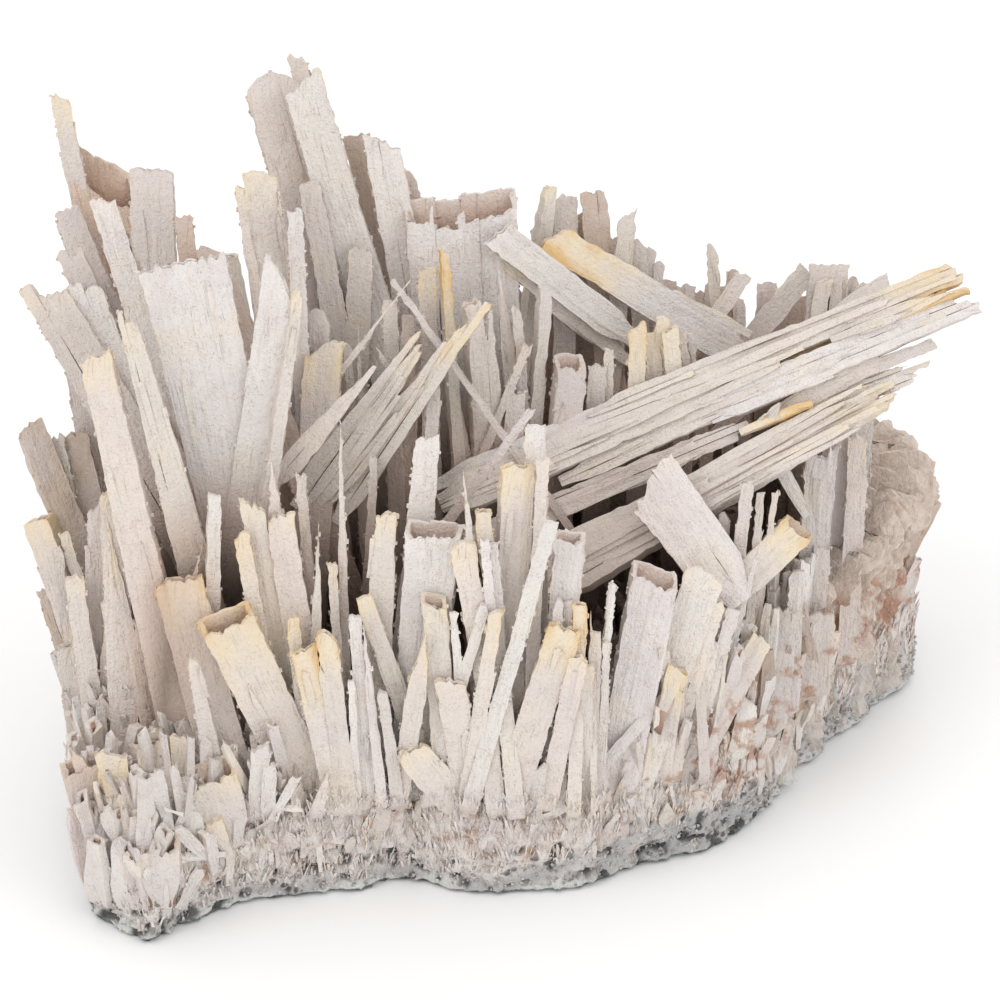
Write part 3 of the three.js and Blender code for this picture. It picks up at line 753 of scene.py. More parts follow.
def addBlade(sheaf, blade, rng, make=bladeMake):
    blade = dict(plainBlade, **blade)
    axis, side, normal = bladeAxes(blade)
    root = bladeRoot(blade, axis, make)
    length = float(np.linalg.norm(blade["tip"] - root))
    skin = bladeSkin(blade, length, rng, make)
    inner = hollowRings(blade, skin, rng, make)
    ringCount, m = skin["rings"].shape[:2]
    ids = np.arange((ringCount + len(inner)) * m).reshape(-1, m)
    faces = np.concatenate([
        ringFaces(ids[:ringCount]), flipped(acrossEnd(ids[0], skin)), ringFaces(ids[ringCount - 1:]),
        acrossEnd(ids[-1], skin),
    ])
    local = np.concatenate([skin["rings"].reshape(-1, 3)] + [points for points, dark, crack in inner])
    hollows = np.zeros(len(ids))
    hollows[ringCount:] = [dark for points, dark, crack in inner]
    # painted shade of the open seams and of the bottoms of open boxes
    cracks = np.concatenate([skin["crack"], np.zeros((len(inner), m))])
    cracks[ringCount:] = np.array([crack for points, dark, crack in inner]).reshape(-1, 1)
    world = root + local[:, :1] * side + local[:, 1:2] * normal + local[:, 2:] * axis
    if make["tucked"] and not blade["loose"]:
        world = tuckIn(world)

    uvs = np.stack([local[:, 0] + local[:, 1] * 1.7, local[:, 2]], -1) / make["grainSize"]
    uvs += rng.random(2) * 40
    tone = np.array(bladeTones[blade["tone"]]) * rng.uniform(0.95, 1.04)
    tone = tone * (1 + rng.uniform(-0.015, 0.015, 3))
    up = np.clip(local[:, 2:] / length, 0, 1)
    tones = tone * (make["footShade"] + (1 - make["footShade"]) * up)
    onSide = np.ones(m, bool)
    onSide[:skin["n"]] = False
    onSide[skin["n"] + skin["sideSteps"]:2 * skin["n"] + skin["sideSteps"]] = False
    tones[:ringCount * m][np.tile(onSide, ringCount)] *= make["sideShade"]

    # stain from the tip down, most of it along the edges
    stain = max(blade["stain"], make["leastStain"] * rng.random())
    fromTip = length - local[:, 2]
    edgeward = np.clip(np.abs(local[:, 0]) / skin["width"] * 2, 0, 1)
    stains = stain * np.clip(1.15 - fromTip / (3 + 14 * stain), 0, 1) * (0.45 + 0.55 * edgeward)
    paleEdge = make["edgeStain"] * (edgeward > 0.8) * np.clip(1.2 - fromTip / 30, 0, 1)
    paleEdge = paleEdge * np.clip(0.7 + waver(local[:, 2] / bladeWaves["paleEdge"], rng), 0, 1.3)
    # painted shade: the crowd's, less on blades lying over it, with the painted shade of seams and open
    # boxes
    deeps = np.maximum(crowdDepth(world) * blade["shade"], cracks.ravel())
    marks = np.stack([np.maximum(stains, paleEdge), np.repeat(hollows, m), deeps], -1)
    sheaf.add(world, faces, uvs, tones, marks)


def readRow(row, plan):
    blade = dict(plainBlade, **dict(zip(rowKeys, row[7:])))
    blade["end"], blade["tone"] = row[0]
    blade["tip"], blade["foot"], blade["facing"] = place(*row[1:4]), place(*row[4:7]), faceOn
    blade["rests"] = plan["rests"] or plan["loose"]
    blade["loose"] = plan["loose"]
    blade["shade"] = bladeMake["restingShade"] if plan["rests"] else 1.0
    blade["stain"] *= bladeMake["stainGain"] if blade["stain"] > 0.35 else 1.0
    if blade["tone"] == "c":
        blade["stain"] = max(blade["stain"], bladeMake["creamStain"])
    return blade


# splinters: thin laths that stand a little off the face of a broad blade, in millimetres
splinterPlan = {
    "spread": 90.0,            # face, in square millimetres, to one splinter
    "low": (0.0, 0.7),         # where a splinter starts, as a share of the blade's length
    "length": (0.2, 0.6),
    "highest": (0.8, 0.985),
    "shortest": 4.0,
    "across": (-0.46, 0.46),
    "drift": (-0.7, 0.7),
    "lift": (-0.1, 0.4),
    "tipWidth": (0.5, 1.5),
    "footWidth": (0.9, 2.6),
    "thickness": (0.6, 1.1),
    "roll": (-12, 12),
    "make": dict(
        bladeMake, columnStep=1.0, ringStep=4.0, tipStep=1.6, tipZone=4.0, ridge=0.05, swell=0.05, jag=0.4,
    ),
}


def addSplinters(sheaf, blade, rng, share):
    plan = splinterPlan
    axis, side, normal = bladeAxes(blade)
    length = float(np.linalg.norm(blade["tip"] - blade["foot"]))
    width = (blade["tipWidth"] + blade["footWidth"]) / 2
    lift = blade["thickness"] / 2 - 0.3
    for k in range(int(share * width * length / plan["spread"] + rng.random())):
        low = rng.uniform(*plan["low"]) * length
        high = min(low + rng.uniform(*plan["length"]) * length, length * rng.uniform(*plan["highest"]))
        if high - low < plan["shortest"]:
            continue
        sideways = rng.uniform(*plan["across"]) * width
        drift = rng.uniform(*plan["drift"])
        small = dict(blade, slant=0, frontDrop=0, rests=True)
        small["foot"] = blade["foot"] + axis * low + side * sideways + normal * (lift - 0.5)
        outBy = lift + rng.uniform(*plan["lift"])
        small["tip"] = blade["foot"] + axis * high + side * (sideways + drift) + normal * outBy
        for key in ("tipWidth", "footWidth", "thickness"):
            small[key] = rng.uniform(*plan[key])
        small["roll"] = blade["roll"] + rng.uniform(*plan["roll"])
        small["end"] = "p" if rng.random() < 0.4 else "s"
        small["stain"] = blade["stain"] * 0.6 if high > length * 0.8 else 0
        addBlade(sheaf, small, rng, plan["make"])


plainPlan = {"rests": False, "loose": False, "make": {}}


def bladePiece(plan):
    plan = dict(plainPlan, **plan)
    rng = np.random.default_rng(plan["seed"])
    sheaf = Sheaf()
    for row in plan["rows"]:
        blade = readRow(row, plan)
        addBlade(sheaf, blade, rng, dict(bladeMake, **plan["make"]))
        addSplinters(sheaf, blade, rng, plan["splinters"])
    return sheaf.build(plan["name"], quartz)


# one row for one blade, in millimetres: end and tone, tip across, rise and back, foot across, rise and
# back, tip width, foot width, thickness and, where they aren't 0, stain, slant, roll and how far the
# front wall of an open box stops below its back wall; ends are s broken, o open, p pointed, r rounded

# left end: tall fan, with a curled hollow blade at its back
leftFan = {"name": "leftFan", "seed": 11, "splinters": 0.4, "rows": [
    ("op", -81, 169, 32, -69, 118, 20, 12.6, 13, 5.5, 0.3, 11, 8, 8.5),
    ("sc", -88.2, 181.3, 31, -83.5, 158, 28, 3.4, 5, 3, 0.5, 1),
    ("sg", -69.8, 166.5, 20, -68, 125, 10, 8.5, 10, 3, 0.15, 1.5, -5),
    ("sw", -79.6, 160.3, 18, -71, 133, 11, 5, 6, 2.5, 0, 1),
    ("sg", -87.2, 158.5, 22, -77, 134, 14, 5.5, 6, 3, 0, -1, 10),
    ("sg", -87, 150.8, 19, -78, 133, 12, 5, 6, 2.5, 0, -0.5),
    ("sc", -92.4, 143.8, 12, -78, 119, 4, 8.4, 11, 4, 0.25, 1.5, 5),
    ("sw", -84.6, 143.6, 13, -76, 122, 6, 8, 9, 3, 0.1),
    ("sg", -80.6, 136, 15, -76, 104, 7, 11, 12, 3),
    ("sg", -85.5, 134, 16, -80, 100, 6, 5, 7, 3),
    ("sb", -63.3, 157.3, 12, -60, 125, 5, 3.4, 5, 3, 0, 2),
    ("sb", -58.5, 150.8, 8, -45, 118, 0, 5, 7, 3, 0, 2),
    ("sb", -94.4, 115.2, 2, -85, 92, -6, 5.6, 6.8, 4, 0, -3, 20),
    ("sg", -88.8, 113.3, 4, -84, 90, -4, 2.6, 3.5, 3),
    ("sb", -85, 113.8, 6, -80, 90, -3, 5, 5.5, 3),
    ("oc", -92.4, 96.6, -8, -86, 78, -14, 5.5, 5, 4.4, 0.5, -1, -20),
    ("sb", -91.8, 82.3, -6, -88, 70, -12, 1.8, 2.5, 2, 0.2),
    ("sg", -88.7, 90.7, -16, -85.5, 66, -20, 2, 3, 2, 0.1),
    ("sc", -87.3, 93.5, -13, -83, 80, -16, 2, 2.4, 2, 0.2),
    ("sc", -85.2, 85.2, -22, -81, 56, -26, 3.6, 5, 3, 0.35),
    ("sc", -85.2, 75.3, -20, -84.4, 64, -22, 1.6, 2.4, 2, 0.2),
]}

# left centre: the widest white blade and the ones round it
whiteFan = {"name": "whiteFan", "seed": 12, "splinters": 0.25, "rows": [
    ("sw", -63.8, 148.4, -6, -53, 100, -12, 17, 12, 3.6, 0.12, -1.5, 2),
    ("sw", -43, 144, -8, -49.5, 100, -13, 8.5, 10, 3.4, 0.05, 10, -4),
    ("sc", -40.6, 142, -9, -45.5, 108, -15, 2, 4, 4, 0.2, 0, 20),
    ("sc", -75, 138, -14, -58, 76, -26, 3.6, 10.5, 4.2, 0.25),
    ("sc", -80.8, 129.5, -16, -63, 50, -36, 6.2, 8.5, 4.2, 0.45, -2, -6),
    ("sg", -81, 98.7, -15, -80, 70, -20, 3, 4.5, 3, 0, -1),
    ("sc", -77.3, 101.8, -18, -75.5, 64, -26, 5, 6, 4, 0.35),
    ("pc", -78.9, 97.5, -20, -72, 63, -28, 1.6, 3, 2.5, 0.8),
    ("sw", -57, 101.4, -27, -57.6, 76, -31, 2.4, 3.8, 2.4, 0, 0, 10),
    ("pc", -59.3, 92.3, -27, -61.8, 82, -29, 1, 2, 1.5, 0.4),
    ("sc", -51.8, 93.6, -30, -46.6, 65, -34, 3, 4, 2.2, 0.6),
    ("sc", -49.8, 99.7, -26, -44, 70, -31, 4.4, 6.5, 3, 0.15, 2),
    ("sc", -44, 97.4, -27, -38.6, 62, -33, 5.4, 6.5, 3, 0.25, -0.5),
    ("pc", -45.8, 109.8, -21, -43.5, 80, -28, 3.6, 5.5, 2.6, 0.5),
    ("sg", -40, 105.7, -20, -38, 82, -26, 1.8, 3, 2.4),
    ("sc", -41.4, 76.8, -35, -39.5, 58, -37, 2.6, 3.2, 2, 0.6),
]}

# back left: the tallest blades and the wide open box beside them
backFan = {"name": "backFan", "seed": 13, "splinters": 0.35, "rows": [
    ("rg", -46.8, 185.4, 46, -27, 118, 22, 10.6, 10.6, 4, 0.1, 0, 8),
    ("sw", -39.6, 184, 40, -22, 126, 24, 8, 9, 4, 0, -4, -4),
    ("sw", -37, 173.6, 37, -27.5, 140, 27, 4.6, 6, 3),
    ("sg", -40.8, 189.3, 51, -33, 160, 43, 3.4, 4, 3, 0.2, 1),
    ("pg", -37.7, 187.2, 50, -33, 165, 44, 1.8, 2.5, 2),
    ("sw", -23.8, 172.4, 39, -15.5, 128, 28, 7, 8.5, 3.4, 0, 2.5),
    ("sb", -28.8, 173.2, 45, -23, 145, 38, 5.5, 6, 3),
    ("sb", -18.3, 166, 47, -12.5, 140, 40, 2.6, 4, 3, 0, 3),
    ("ow", -8, 160.9, 35, -6, 118, 24, 22.5, 18, 6.5, 0.1, -1.5, 2, 4.4),
    ("sc", -11.4, 150, 21, -9.8, 128, 14.5, 1.7, 3.8, 2, 1.2, 1, 15),
    ("sc", -14.7, 146.5, 24, -14, 122, 16, 3.4, 4.2, 2.4, 0.5, -0.5),
    ("sg", -27.7, 151.2, 27, -29, 118, 17, 4.8, 5.6, 2.6, 0.1, 1),
    ("sw", -41.1, 158.8, 14, -39.6, 126, 6, 3, 4.6, 2, 0, 1.5),
    ("sc", -48.3, 165.8, 20, -44, 126, 9, 6.4, 7.5, 3, 0.3, 1),
    ("sc", -51.9, 163, 19, -47, 130, 9, 2, 4, 2.6, 0.2),
    ("pc", -44.4, 161.8, 18, -40.5, 135, 10, 1.8, 3, 2.2, 0.4, 1),
    ("sg", -38.3, 164, 31, -31, 126, 20, 4.4, 7, 3, 0.1),
    ("rg", -36.5, 138.2, 14, -34, 112, 6, 4, 5.5, 2.5, 0.1, 1),
    ("sm", -35.2, 131.7, 6, -37, 102, -4, 7.4, 7.6, 3, 0.6, -1.6, -4),
    ("pc", -17.6, 144.7, 12, -31.5, 126, 6, 0.9, 3, 1.5, 0.1),
    ("sg", -21.6, 144.2, 14, -12.2, 131, 10, 1.2, 2, 1.4),
    ("sg", -30.6, 131.5, 12, -28.5, 108, 4, 1.6, 2.4, 2),
    ("pw", -28.2, 135, 14, -27.6, 108, 6, 1.2, 2.6, 2),
    ("sg", -22, 140, 16, -21, 112, 8, 3, 4, 2.5),
    ("sb", -18.5, 137, 14, -18, 112, 8, 2.6, 3.6, 2),
]}

# centre: three laths leaning to the right over the deep pocket
slantingPair = {"name": "slantingPair", "seed": 14, "rests": True, "splinters": 1.3, "make": {
    "lathWidth": 2.4, "seamShare": 0.2, "shortest": 5.0, "lathStep": 0.14, "edgeStain": 0.4,
}, "rows": [
    ("pc", -24.3, 127.4, -4, -45.5, 102.5, -12, 1.2, 5, 2.6),
    ("sc", -3, 139.9, 8, -33, 95.5, -6.5, 3, 5, 3.2, 0.85),
    ("pc", -12, 129.8, 5, -34, 100, -6, 2, 4, 3.4, 0.4, 0, 10),
    ("sc", -15.1, 133, 5, -40, 98, -6, 3.4, 9, 3.4, 0.5),
    ("pw", -25, 131, 8, -20.8, 124, 7, 0.8, 1.6, 1.4),
]}

# centre: upright blades in front of the pocket and behind it
centre = {"name": "centre", "seed": 15, "splinters": 0.4, "rows": [
    ("sg", -4.8, 140.4, 16, -2, 100, 10, 5.5, 9, 4.6, 0.35, 0, 18),
    ("pg", -10.8, 127, 14, -6.2, 102, 8, 2.4, 4.6, 3, 0, 0, 40),
    ("pg", -0.9, 149.3, 24, 3, 120, 16, 3, 5, 3),
    ("sg", 3.4, 138.6, 19, 4.6, 120, 15, 2, 2.8, 1.8, 0, 1),
    ("sg", 9, 142.8, 20, 6.2, 108, 13, 2.4, 3.4, 3, 0.05, 0, 20),
    ("sg", 5.8, 131.5, 15, 1.5, 121, 12, 1.6, 2.4, 2),
    ("og", 14.2, 128.7, 15, 11.6, 100, 9, 6, 6.6, 5, 0.05, 0, 12, 1.5),
    ("sg", 19.4, 127.2, 17, 18.4, 100, 11, 3.6, 4, 2.6),
    ("sg", 21.9, 130.2, 18, 20.9, 102, 12, 2, 2.4, 2),
    ("sg", 27.4, 135.4, 18, 27.4, 108, 12, 3.4, 5.8, 3.2, 0.7, -4),
    ("sc", 32.4, 136.8, 22, 32.2, 116, 17, 2.8, 3.2, 2.8, 0.25),
    ("oc", 33.9, 134.6, 20, 35.6, 117, 15, 3.2, 3.6, 3, 0.1),
    ("sc", 30.2, 133.6, 21, 31.6, 116, 16, 3.2, 3.6, 2.6, 0.1),
    ("sg", 36.1, 134, 22, 38.6, 120, 18, 1.4, 2, 1.6),
    ("sg", 37.8, 133.4, 24, 40, 120, 20, 1.2, 2, 1.6),
    ("sg", 3, 121.5, 12, 2.8, 100, 8, 3.6, 4.6, 3),
    ("sw", 6.9, 118.4, 0, -3, 105.5, -4, 1.6, 3.2, 2.2),
    ("sg", -13.2, 124.4, 4, -14.6, 98, -4, 2.4, 3, 2.2),
    ("sw", -25.2, 109, -6, -26.4, 84, -14, 1.6, 2.6, 2),
]}

# back right: a low hedge behind the long laths
rightBack = {"name": "rightBack", "seed": 16, "splinters": 0.25, "rows": [
    ("sb", 6, 143, 45, 6, 108, 35, 12, 13.5, 3, 0, 1),
    ("sb", 25, 141, 47, 24, 108, 38, 13, 15, 3, 0, -1),
    ("sb", 41, 134.5, 52, 40, 108, 43, 13, 15, 3, 0, 1),
    ("sb", 56, 132, 56, 55, 108, 48, 12, 13.5, 3),
    ("sc", 10, 162.9, 46, 6.4, 140, 38, 2.8, 5, 3.4, 0.15, 0, 30),
    ("sg", 13.2, 161.4, 50, 13, 138, 40, 4.6, 5, 3),
    ("sb", 18.6, 162, 49, 20.8, 138, 40, 5.4, 7.4, 4, 0.1, 0.8),
    ("sg", 25.8, 157.6, 45, 23.6, 138, 38, 3.4, 5.4, 2.6, 0, -3.4),
    ("sg", 10.5, 155, 54, 11, 136, 46, 9, 10, 3),
    ("sb", 15.6, 159.6, 53, 17, 136, 45, 11, 12, 3),
    ("sb", 41, 143.6, 60, 40, 124, 52, 10, 12, 3),
    ("sb", 60.5, 141, 62, 60, 122, 56, 6, 7, 3),
    ("sb", 10, 137, 48, 10, 108, 40, 9, 10, 3),
    ("sb", 20.5, 152.6, 54, 21, 136, 46, 9, 10, 3),
    ("sb", 31, 144.6, 56, 31, 130, 49, 9, 10, 3),
    ("sg", 27.8, 152.3, 52, 28, 136, 44, 3.4, 4.4, 3),
    ("sg", 30.6, 150.7, 52, 29, 138, 46, 1.8, 2.6, 2),
    ("rg", 31.7, 147.9, 50, 31.5, 132, 44, 2.2, 2.8, 2),
    ("sg", 36, 143.2, 57, 38, 127, 50, 5.6, 7, 4),
    ("sg", 42.3, 151.4, 54, 44, 130, 46, 2.4, 2.8, 2, 0.1, 0.5),
    ("sg", 49, 145.3, 49, 40.4, 133, 45, 3.4, 3.6, 2.2, 0.05),
    ("sb", 46.3, 146.2, 58, 46.6, 130, 51, 2.8, 3.4, 2.4),
    ("sg", 47.6, 140.4, 54, 48.2, 126, 48, 2.6, 3.4, 2.4),
    ("sg", 62, 146, 58, 48.5, 130, 52, 4.6, 5.4, 4),
    ("sg", 66, 147.4, 56, 64, 126, 48, 8, 9, 4),
    ("sb", 56.5, 142, 62, 55, 122, 54, 8, 9, 3),
    ("sg", 53.6, 143.7, 64, 52.4, 127, 56, 4, 5, 3),
    ("oc", 64.9, 144.2, 51, 61.8, 126, 46, 3, 4, 3, 0.1),
    ("sg", 67.3, 144.4, 52, 66.6, 128, 46, 2.6, 3.4, 2.6),
    ("sg", 70.8, 144.8, 58, 69.4, 130, 51, 2, 3, 2),
    ("sg", 78, 144.4, 52, 65.5, 136.6, 47, 3, 3.6, 2.4),
    ("sg", 73.6, 142.9, 54, 65.5, 135, 50, 2.6, 3.4, 2.4),
    ("sb", 15.6, 141, 44, 15.6, 108, 36, 8, 8, 3),
]}

# the long bundle that rises to the right and overhangs the end
bundle = {"name": "bundle", "seed": 17, "rests": True, "splinters": 1.5, "make": {
    "lathWidth": 2.4, "seamShare": 0.2, "shortest": 6.5, "lathStep": 0.17, "edgeStain": 0.5,
}, "rows": [
    ("sc", 92.4, 145.8, 25, 18, 115.5, 10, 4.6, 6.4, 4.4, 0.9, 0, -12),
    ("sc", 93.6, 142.4, 23, 66, 132.2, 17, 2.2, 3.4, 3.8, 1.1, 0, -12),
    ("sw", 95.6, 140, 22, 40, 117, 11, 4.8, 7, 4.6, 0.2, 0, -8),
    ("sg", 87, 131.6, 19, 66, 123, 14, 2, 3.6, 3),
    ("sg", 86, 128, 18, 60, 118, 12, 1.8, 3.4, 3, 0.5),
    ("sw", 83.4, 125, 17, 56, 115, 10, 3, 4, 3),
    ("sc", 62.6, 126, 15, 12, 103.6, 4, 2.4, 4.2, 3.4, 0.3, 0, -6),
    ("sg", 76, 127.8, 16, 54, 117, 11, 3.4, 4.4, 3),
    ("sg", 70, 123.8, 15, 56, 117.4, 11, 2.4, 3.4, 3),
    ("sg", 50, 115, 10, -12, 89, -2, 4, 6, 4),
    ("sc", 58, 129, 17, -12, 99, 1, 6, 7.5, 4.6, 0.2, 0, -10),
    ("sw", 46, 127.4, 18, -13, 102.4, 4, 3.4, 5, 4.6, 0.15, 0, -16),
    ("sc", 79.8, 122.2, 12, 8, 83.6, -8, 4.4, 13, 4.8, 0.5, 0, -18),
    ("sw", 72.6, 116, 8, 36, 98.6, 0, 1.8, 4.2, 3),
    ("sg", 56.5, 118.6, 8, 51, 114.5, 8, 3, 3, 2.4, 0.1),
    ("sc", 67, 131.4, 19.6, 45, 122, 14.6, 1.6, 2.8, 3, 1.2, 0, -12),
    ("sc", 62.6, 119.4, 9.6, 48, 113.4, 7, 1.4, 2.4, 2.6, 1.1, 0, -14),
    ("sc", 30, 120.4, 13, 9, 111, 7, 1, 1.8, 2, 0.9, 0, -14),
]}

# right front: slats under the bundle
rightFront = {"name": "rightFront", "seed": 18, "splinters": 0.4, "rows": [
    ("sw", 41.4, 86, -18, 37, 73, -22, 8, 7, 2.6, 0.3, 2),
    ("ow", 31.4, 86.2, -22, 24.6, 52, -30, 9.4, 8.4, 5, 0.15, 1.5, 6, 2),
    ("sg", 49.6, 103.6, -4, 47.6, 86, -9, 2.4, 3.6, 2.4),
    ("sg", 44.6, 97.4, -4, 45.4, 80, -6, 2, 2.6, 2),
    ("sg", 52.2, 101.6, -2, 51, 87, -7, 1.6, 1.8, 1.8),
    ("sg", 55.2, 102.2, -2, 53, 87, -6, 1.2, 1.8, 1.6),
    ("pw", 52.8, 94.1, -12, 50.6, 86, -14, 0.8, 1.6, 1.2),
    ("sg", 63.4, 109.6, 12, 62, 82, 9, 4.6, 6, 3),
    ("sw", 66.6, 111.2, 14, 62.6, 72, 10, 2.4, 3.2, 2.6),
    ("sg", 69, 113.6, 22, 66.4, 74, 18, 3.6, 4.4, 2.6),
    ("sg", 72.6, 117, 32, 71, 92, 28, 4.2, 4.6, 2.6),
    ("sw", 60.4, 88.6, 6, 57.6, 74, 4, 3, 3.6, 2.2),
    ("sg", 64.6, 91, 9, 61.4, 62, 8, 3.4, 4.2, 2.6, 0.1),
    ("oc", 35.3, 66, -27, 33, 50, -29, 3.8, 4, 3, 0.6),
    ("sc", 44.2, 79.8, -21, 38.6, 62, -25, 2.2, 2.8, 2, 0.1),
    ("sw", 46.8, 78.2, -20, 41.2, 60, -24, 2.6, 3.2, 2.2),
    ("sw", 43, 72, -22, 40, 58, -25, 2, 2.8, 2),
    ("sc", 52.4, 72.8, -15, 45, 59, -21, 4.6, 5, 3.4, 0.05, 1, 12),
    ("sg", 36.6, 76.6, -21, 35.6, 62, -25, 3.6, 4.4, 2.6),
    ("sg", 39.4, 76.6, -20, 39.8, 68, -23, 2, 2.2, 2),
    ("sw", 50, 76, -12, 48, 62, -16, 3, 4, 2.4),
    ("sg", 56, 77, -1, 54, 60, -4, 4, 5, 2.6),
    ("sw", 46.4, 78, -17, 38.6, 58.6, -24, 3.2, 3.6, 2.4, 0.1, 0, 10),
    ("sw", 43.4, 72, -21, 37.4, 65.4, -25, 2.2, 2.6, 1.8),
    ("sw", 22.4, 83.4, -33, 21, 71, -34, 1.5, 1.9, 1.6, 0.1),
    ("sg", 56.6, 78.6, -5, 55, 64, -9, 6.4, 7, 2.4),
    ("sg", 63.6, 77.6, 4, 62.6, 62, 1, 7, 7.6, 2.6, 0.1),
    ("sw", 50, 60.6, -19, 48, 50.6, -21, 4, 4.6, 2.4),
    ("sw", 59.4, 86, -1, 59, 77.6, -2.4, 3, 3.4, 2, 0.2),
    ("sc", 71.6, 113, 20, 71, 100, 18, 4, 4.4, 2.2, 0.2),
]}

# front row, from the left end to the right
frontRow = {"name": "frontRow", "seed": 19, "splinters": 0.3, "rows": [
    ("sc", -64.6, 84.6, -31, -57, 56, -36, 9.6, 9, 4.2, 0.6),
    ("oc", -55.4, 77, -38, -38.8, 44, -37, 10.6, 9, 5, 0.65, 0, 0, 1.6),
    ("sc", -61.5, 68.4, -42, -56.8, 44, -42, 2, 5.6, 3, 0.3),
    ("pc", -32, 114.8, -22, -30.8, 60, -32, 0.7, 2.6, 1.6, 0.3),
    ("pc", -36.3, 95.6, -28, -36.8, 66, -34, 0.7, 3.2, 1.6),
    ("sc", -33.6, 87.6, -29, -31.8, 60, -34, 1.6, 2.4, 1.8),
    ("sc", -22.7, 97.6, -26, -24.6, 70, -32, 4, 8, 3, 0.1),
    ("sc", -27.4, 80.8, -34, -17, 52, -37, 3.4, 4.6, 2.4, 0.6),
    ("sw", -14.4, 113, -18, -17.4, 80, -26, 4.8, 7.4, 2, 0, -2.2),
    ("ow", -13, 95.4, -28, -15.4, 66, -32, 10.6, 8.4, 5, 0.1, 0.5, -6, 1.4),
    ("oc", -13.2, 80.8, -35, -11.6, 58, -37, 4.8, 5, 4, 0.2, 1, 0, 1.2),
    ("pc", -14.6, 74.8, -39, -18.8, 49, -40, 4.6, 3.4, 2.4, 0.8),
    ("sc", -18.6, 50.4, -42, -6.4, 37, -39, 6.6, 8, 3, 0.1),
    ("sc", -10, 64.3, -40, -6.6, 44, -39, 5.8, 6.4, 3, 0.05, 1),
    ("sw", -9.3, 77.6, -37, -7.8, 58, -38, 1.4, 2.6, 1.6),
    ("sw", -3, 79.2, -37, -8, 62, -38, 2, 2.6, 2),
    ("sc", -0.8, 78, -39, -5.2, 50, -40, 2.6, 3.6, 2.4, 0.6),
    ("sw", 10.3, 95.8, -36, -3.6, 47, -41, 3, 3.4, 2.4, 0.1),
    ("sc", 3.4, 107.4, -26, 1.2, 62, -34, 6.4, 6.4, 4, 0.5, 0, 14),
    ("sc", 8.7, 108.6, -27, 6.4, 66, -35, 2.4, 3, 2.4, 0.35),
    ("sw", 7, 115, -21, 7.4, 88, -27, 4, 4.4, 2.4, 0.1),
    ("pc", -7.5, 106.2, -30, -5.3, 84, -34, 1.2, 4, 1.8, 0.5),
    ("oc", -3.6, 98, -30, -2, 84, -33, 3, 3.4, 3, 0.6),
    ("sc", -7.6, 91.8, -34, -4, 70, -36, 5, 3, 2.4, 0, -1),
    ("sw", -3, 92.6, -35, -1.2, 70, -37, 1.8, 2.4, 2),
    ("sw", -1.1, 91.4, -34, 0.2, 70, -36, 1.6, 2.2, 2),
    ("ow", 13.9, 93.4, -30, 12, 64, -35, 6, 5, 3.8, 0.1, 0, 0, 0.8),
    ("sw", 11.7, 80.4, -36, 11, 66, -37, 2, 2.2, 1.8),
    ("sw", 13.5, 80, -35, 13, 66, -37, 1.6, 2, 1.8),
    ("sc", 13.2, 75, -39, 6, 53, -40, 6.6, 6.6, 4, 0.6, -0.5),
    ("oc", 16, 79.3, -37, 15.6, 66, -39, 2.6, 2.8, 2, 0.7),
    ("pc", 18.2, 78, -36, 18.4, 66, -38, 1.2, 1.4, 1.2, 0.1),
    ("sc", 15.8, 69, -41, 10.6, 45, -41, 3.8, 4, 3, 0.1),
    ("sc", 17.4, 68, -40, 17, 52, -40, 2.4, 3, 2.4, 0.1),
    ("sw", 22.5, 83.4, -34, 20.4, 62, -37, 1.4, 1.8, 1.6),
    ("sg", 19.3, 73.7, -37, 18.6, 52, -39, 2, 2.8, 2),
    ("sw", 21.3, 71.5, -37, 20.6, 52, -38, 1.4, 1.8, 1.6),
    ("sc", -39.2, 70.6, -39, -34.2, 47, -41, 4.8, 4.6, 3, 0.8, -0.5),
    ("sc", -34.7, 73.8, -39, -31, 43, -41, 3.8, 4.4, 3, 0.6, 1),
    ("sw", -29.8, 64, -40, -28.6, 43, -41, 1.2, 2, 1.8),
    ("sw", -29, 77, -37, -26.6, 43, -40, 2.4, 3.2, 2.2),
    ("pw", -27.3, 75.2, -38, -24, 43, -41, 1, 2.4, 1.6),
    ("sw", -48, 51.4, -44, -48.6, 32, -44, 3.6, 4, 2.6),
    ("sw", -46, 47.4, -45, -46.6, 30, -44, 2.6, 3, 2.2),
    ("sw", -40.4, 45.2, -43, -43.8, 39, -45, 1.6, 2.2, 1.8),
    ("sw", -39.4, 38.3, -45, -44.6, 38.5, -45, 1.8, 2, 1.6),
    ("pw", -34, 46.8, -44, -37.4, 35, -43, 0.8, 4, 2),
    ("sg", -23.5, 62, -41, -21, 44, -41, 2, 3, 2),
]}

# left end, low in front: short blades between the fans and the low block
leftFront = {"name": "leftFront", "seed": 20, "splinters": 0.4, "rows": [
    ("pc", -78.8, 79, -22, -78, 50, -24, 1.6, 4.6, 3, 0.6),
    ("sc", -72.6, 74, -24, -72, 52, -26, 3.8, 5.2, 3.4, 0.5),
    ("sw", -71.4, 76.4, -26, -66.4, 53, -29, 4.4, 6.6, 3.6, 0.2, 0, 10),
    ("sg", -87, 71, -20, -84, 54, -22, 3.8, 5.6, 4),
    ("sg", -82.4, 64, -25, -80.4, 50, -26, 3.2, 4.6, 3),
    ("sc", -80.4, 60.4, -28, -74.4, 52.6, -29, 1.6, 2, 1.6, 0.4),
    ("sw", -68, 62, -30, -66, 50, -31, 2.2, 3.4, 2.4),
]}

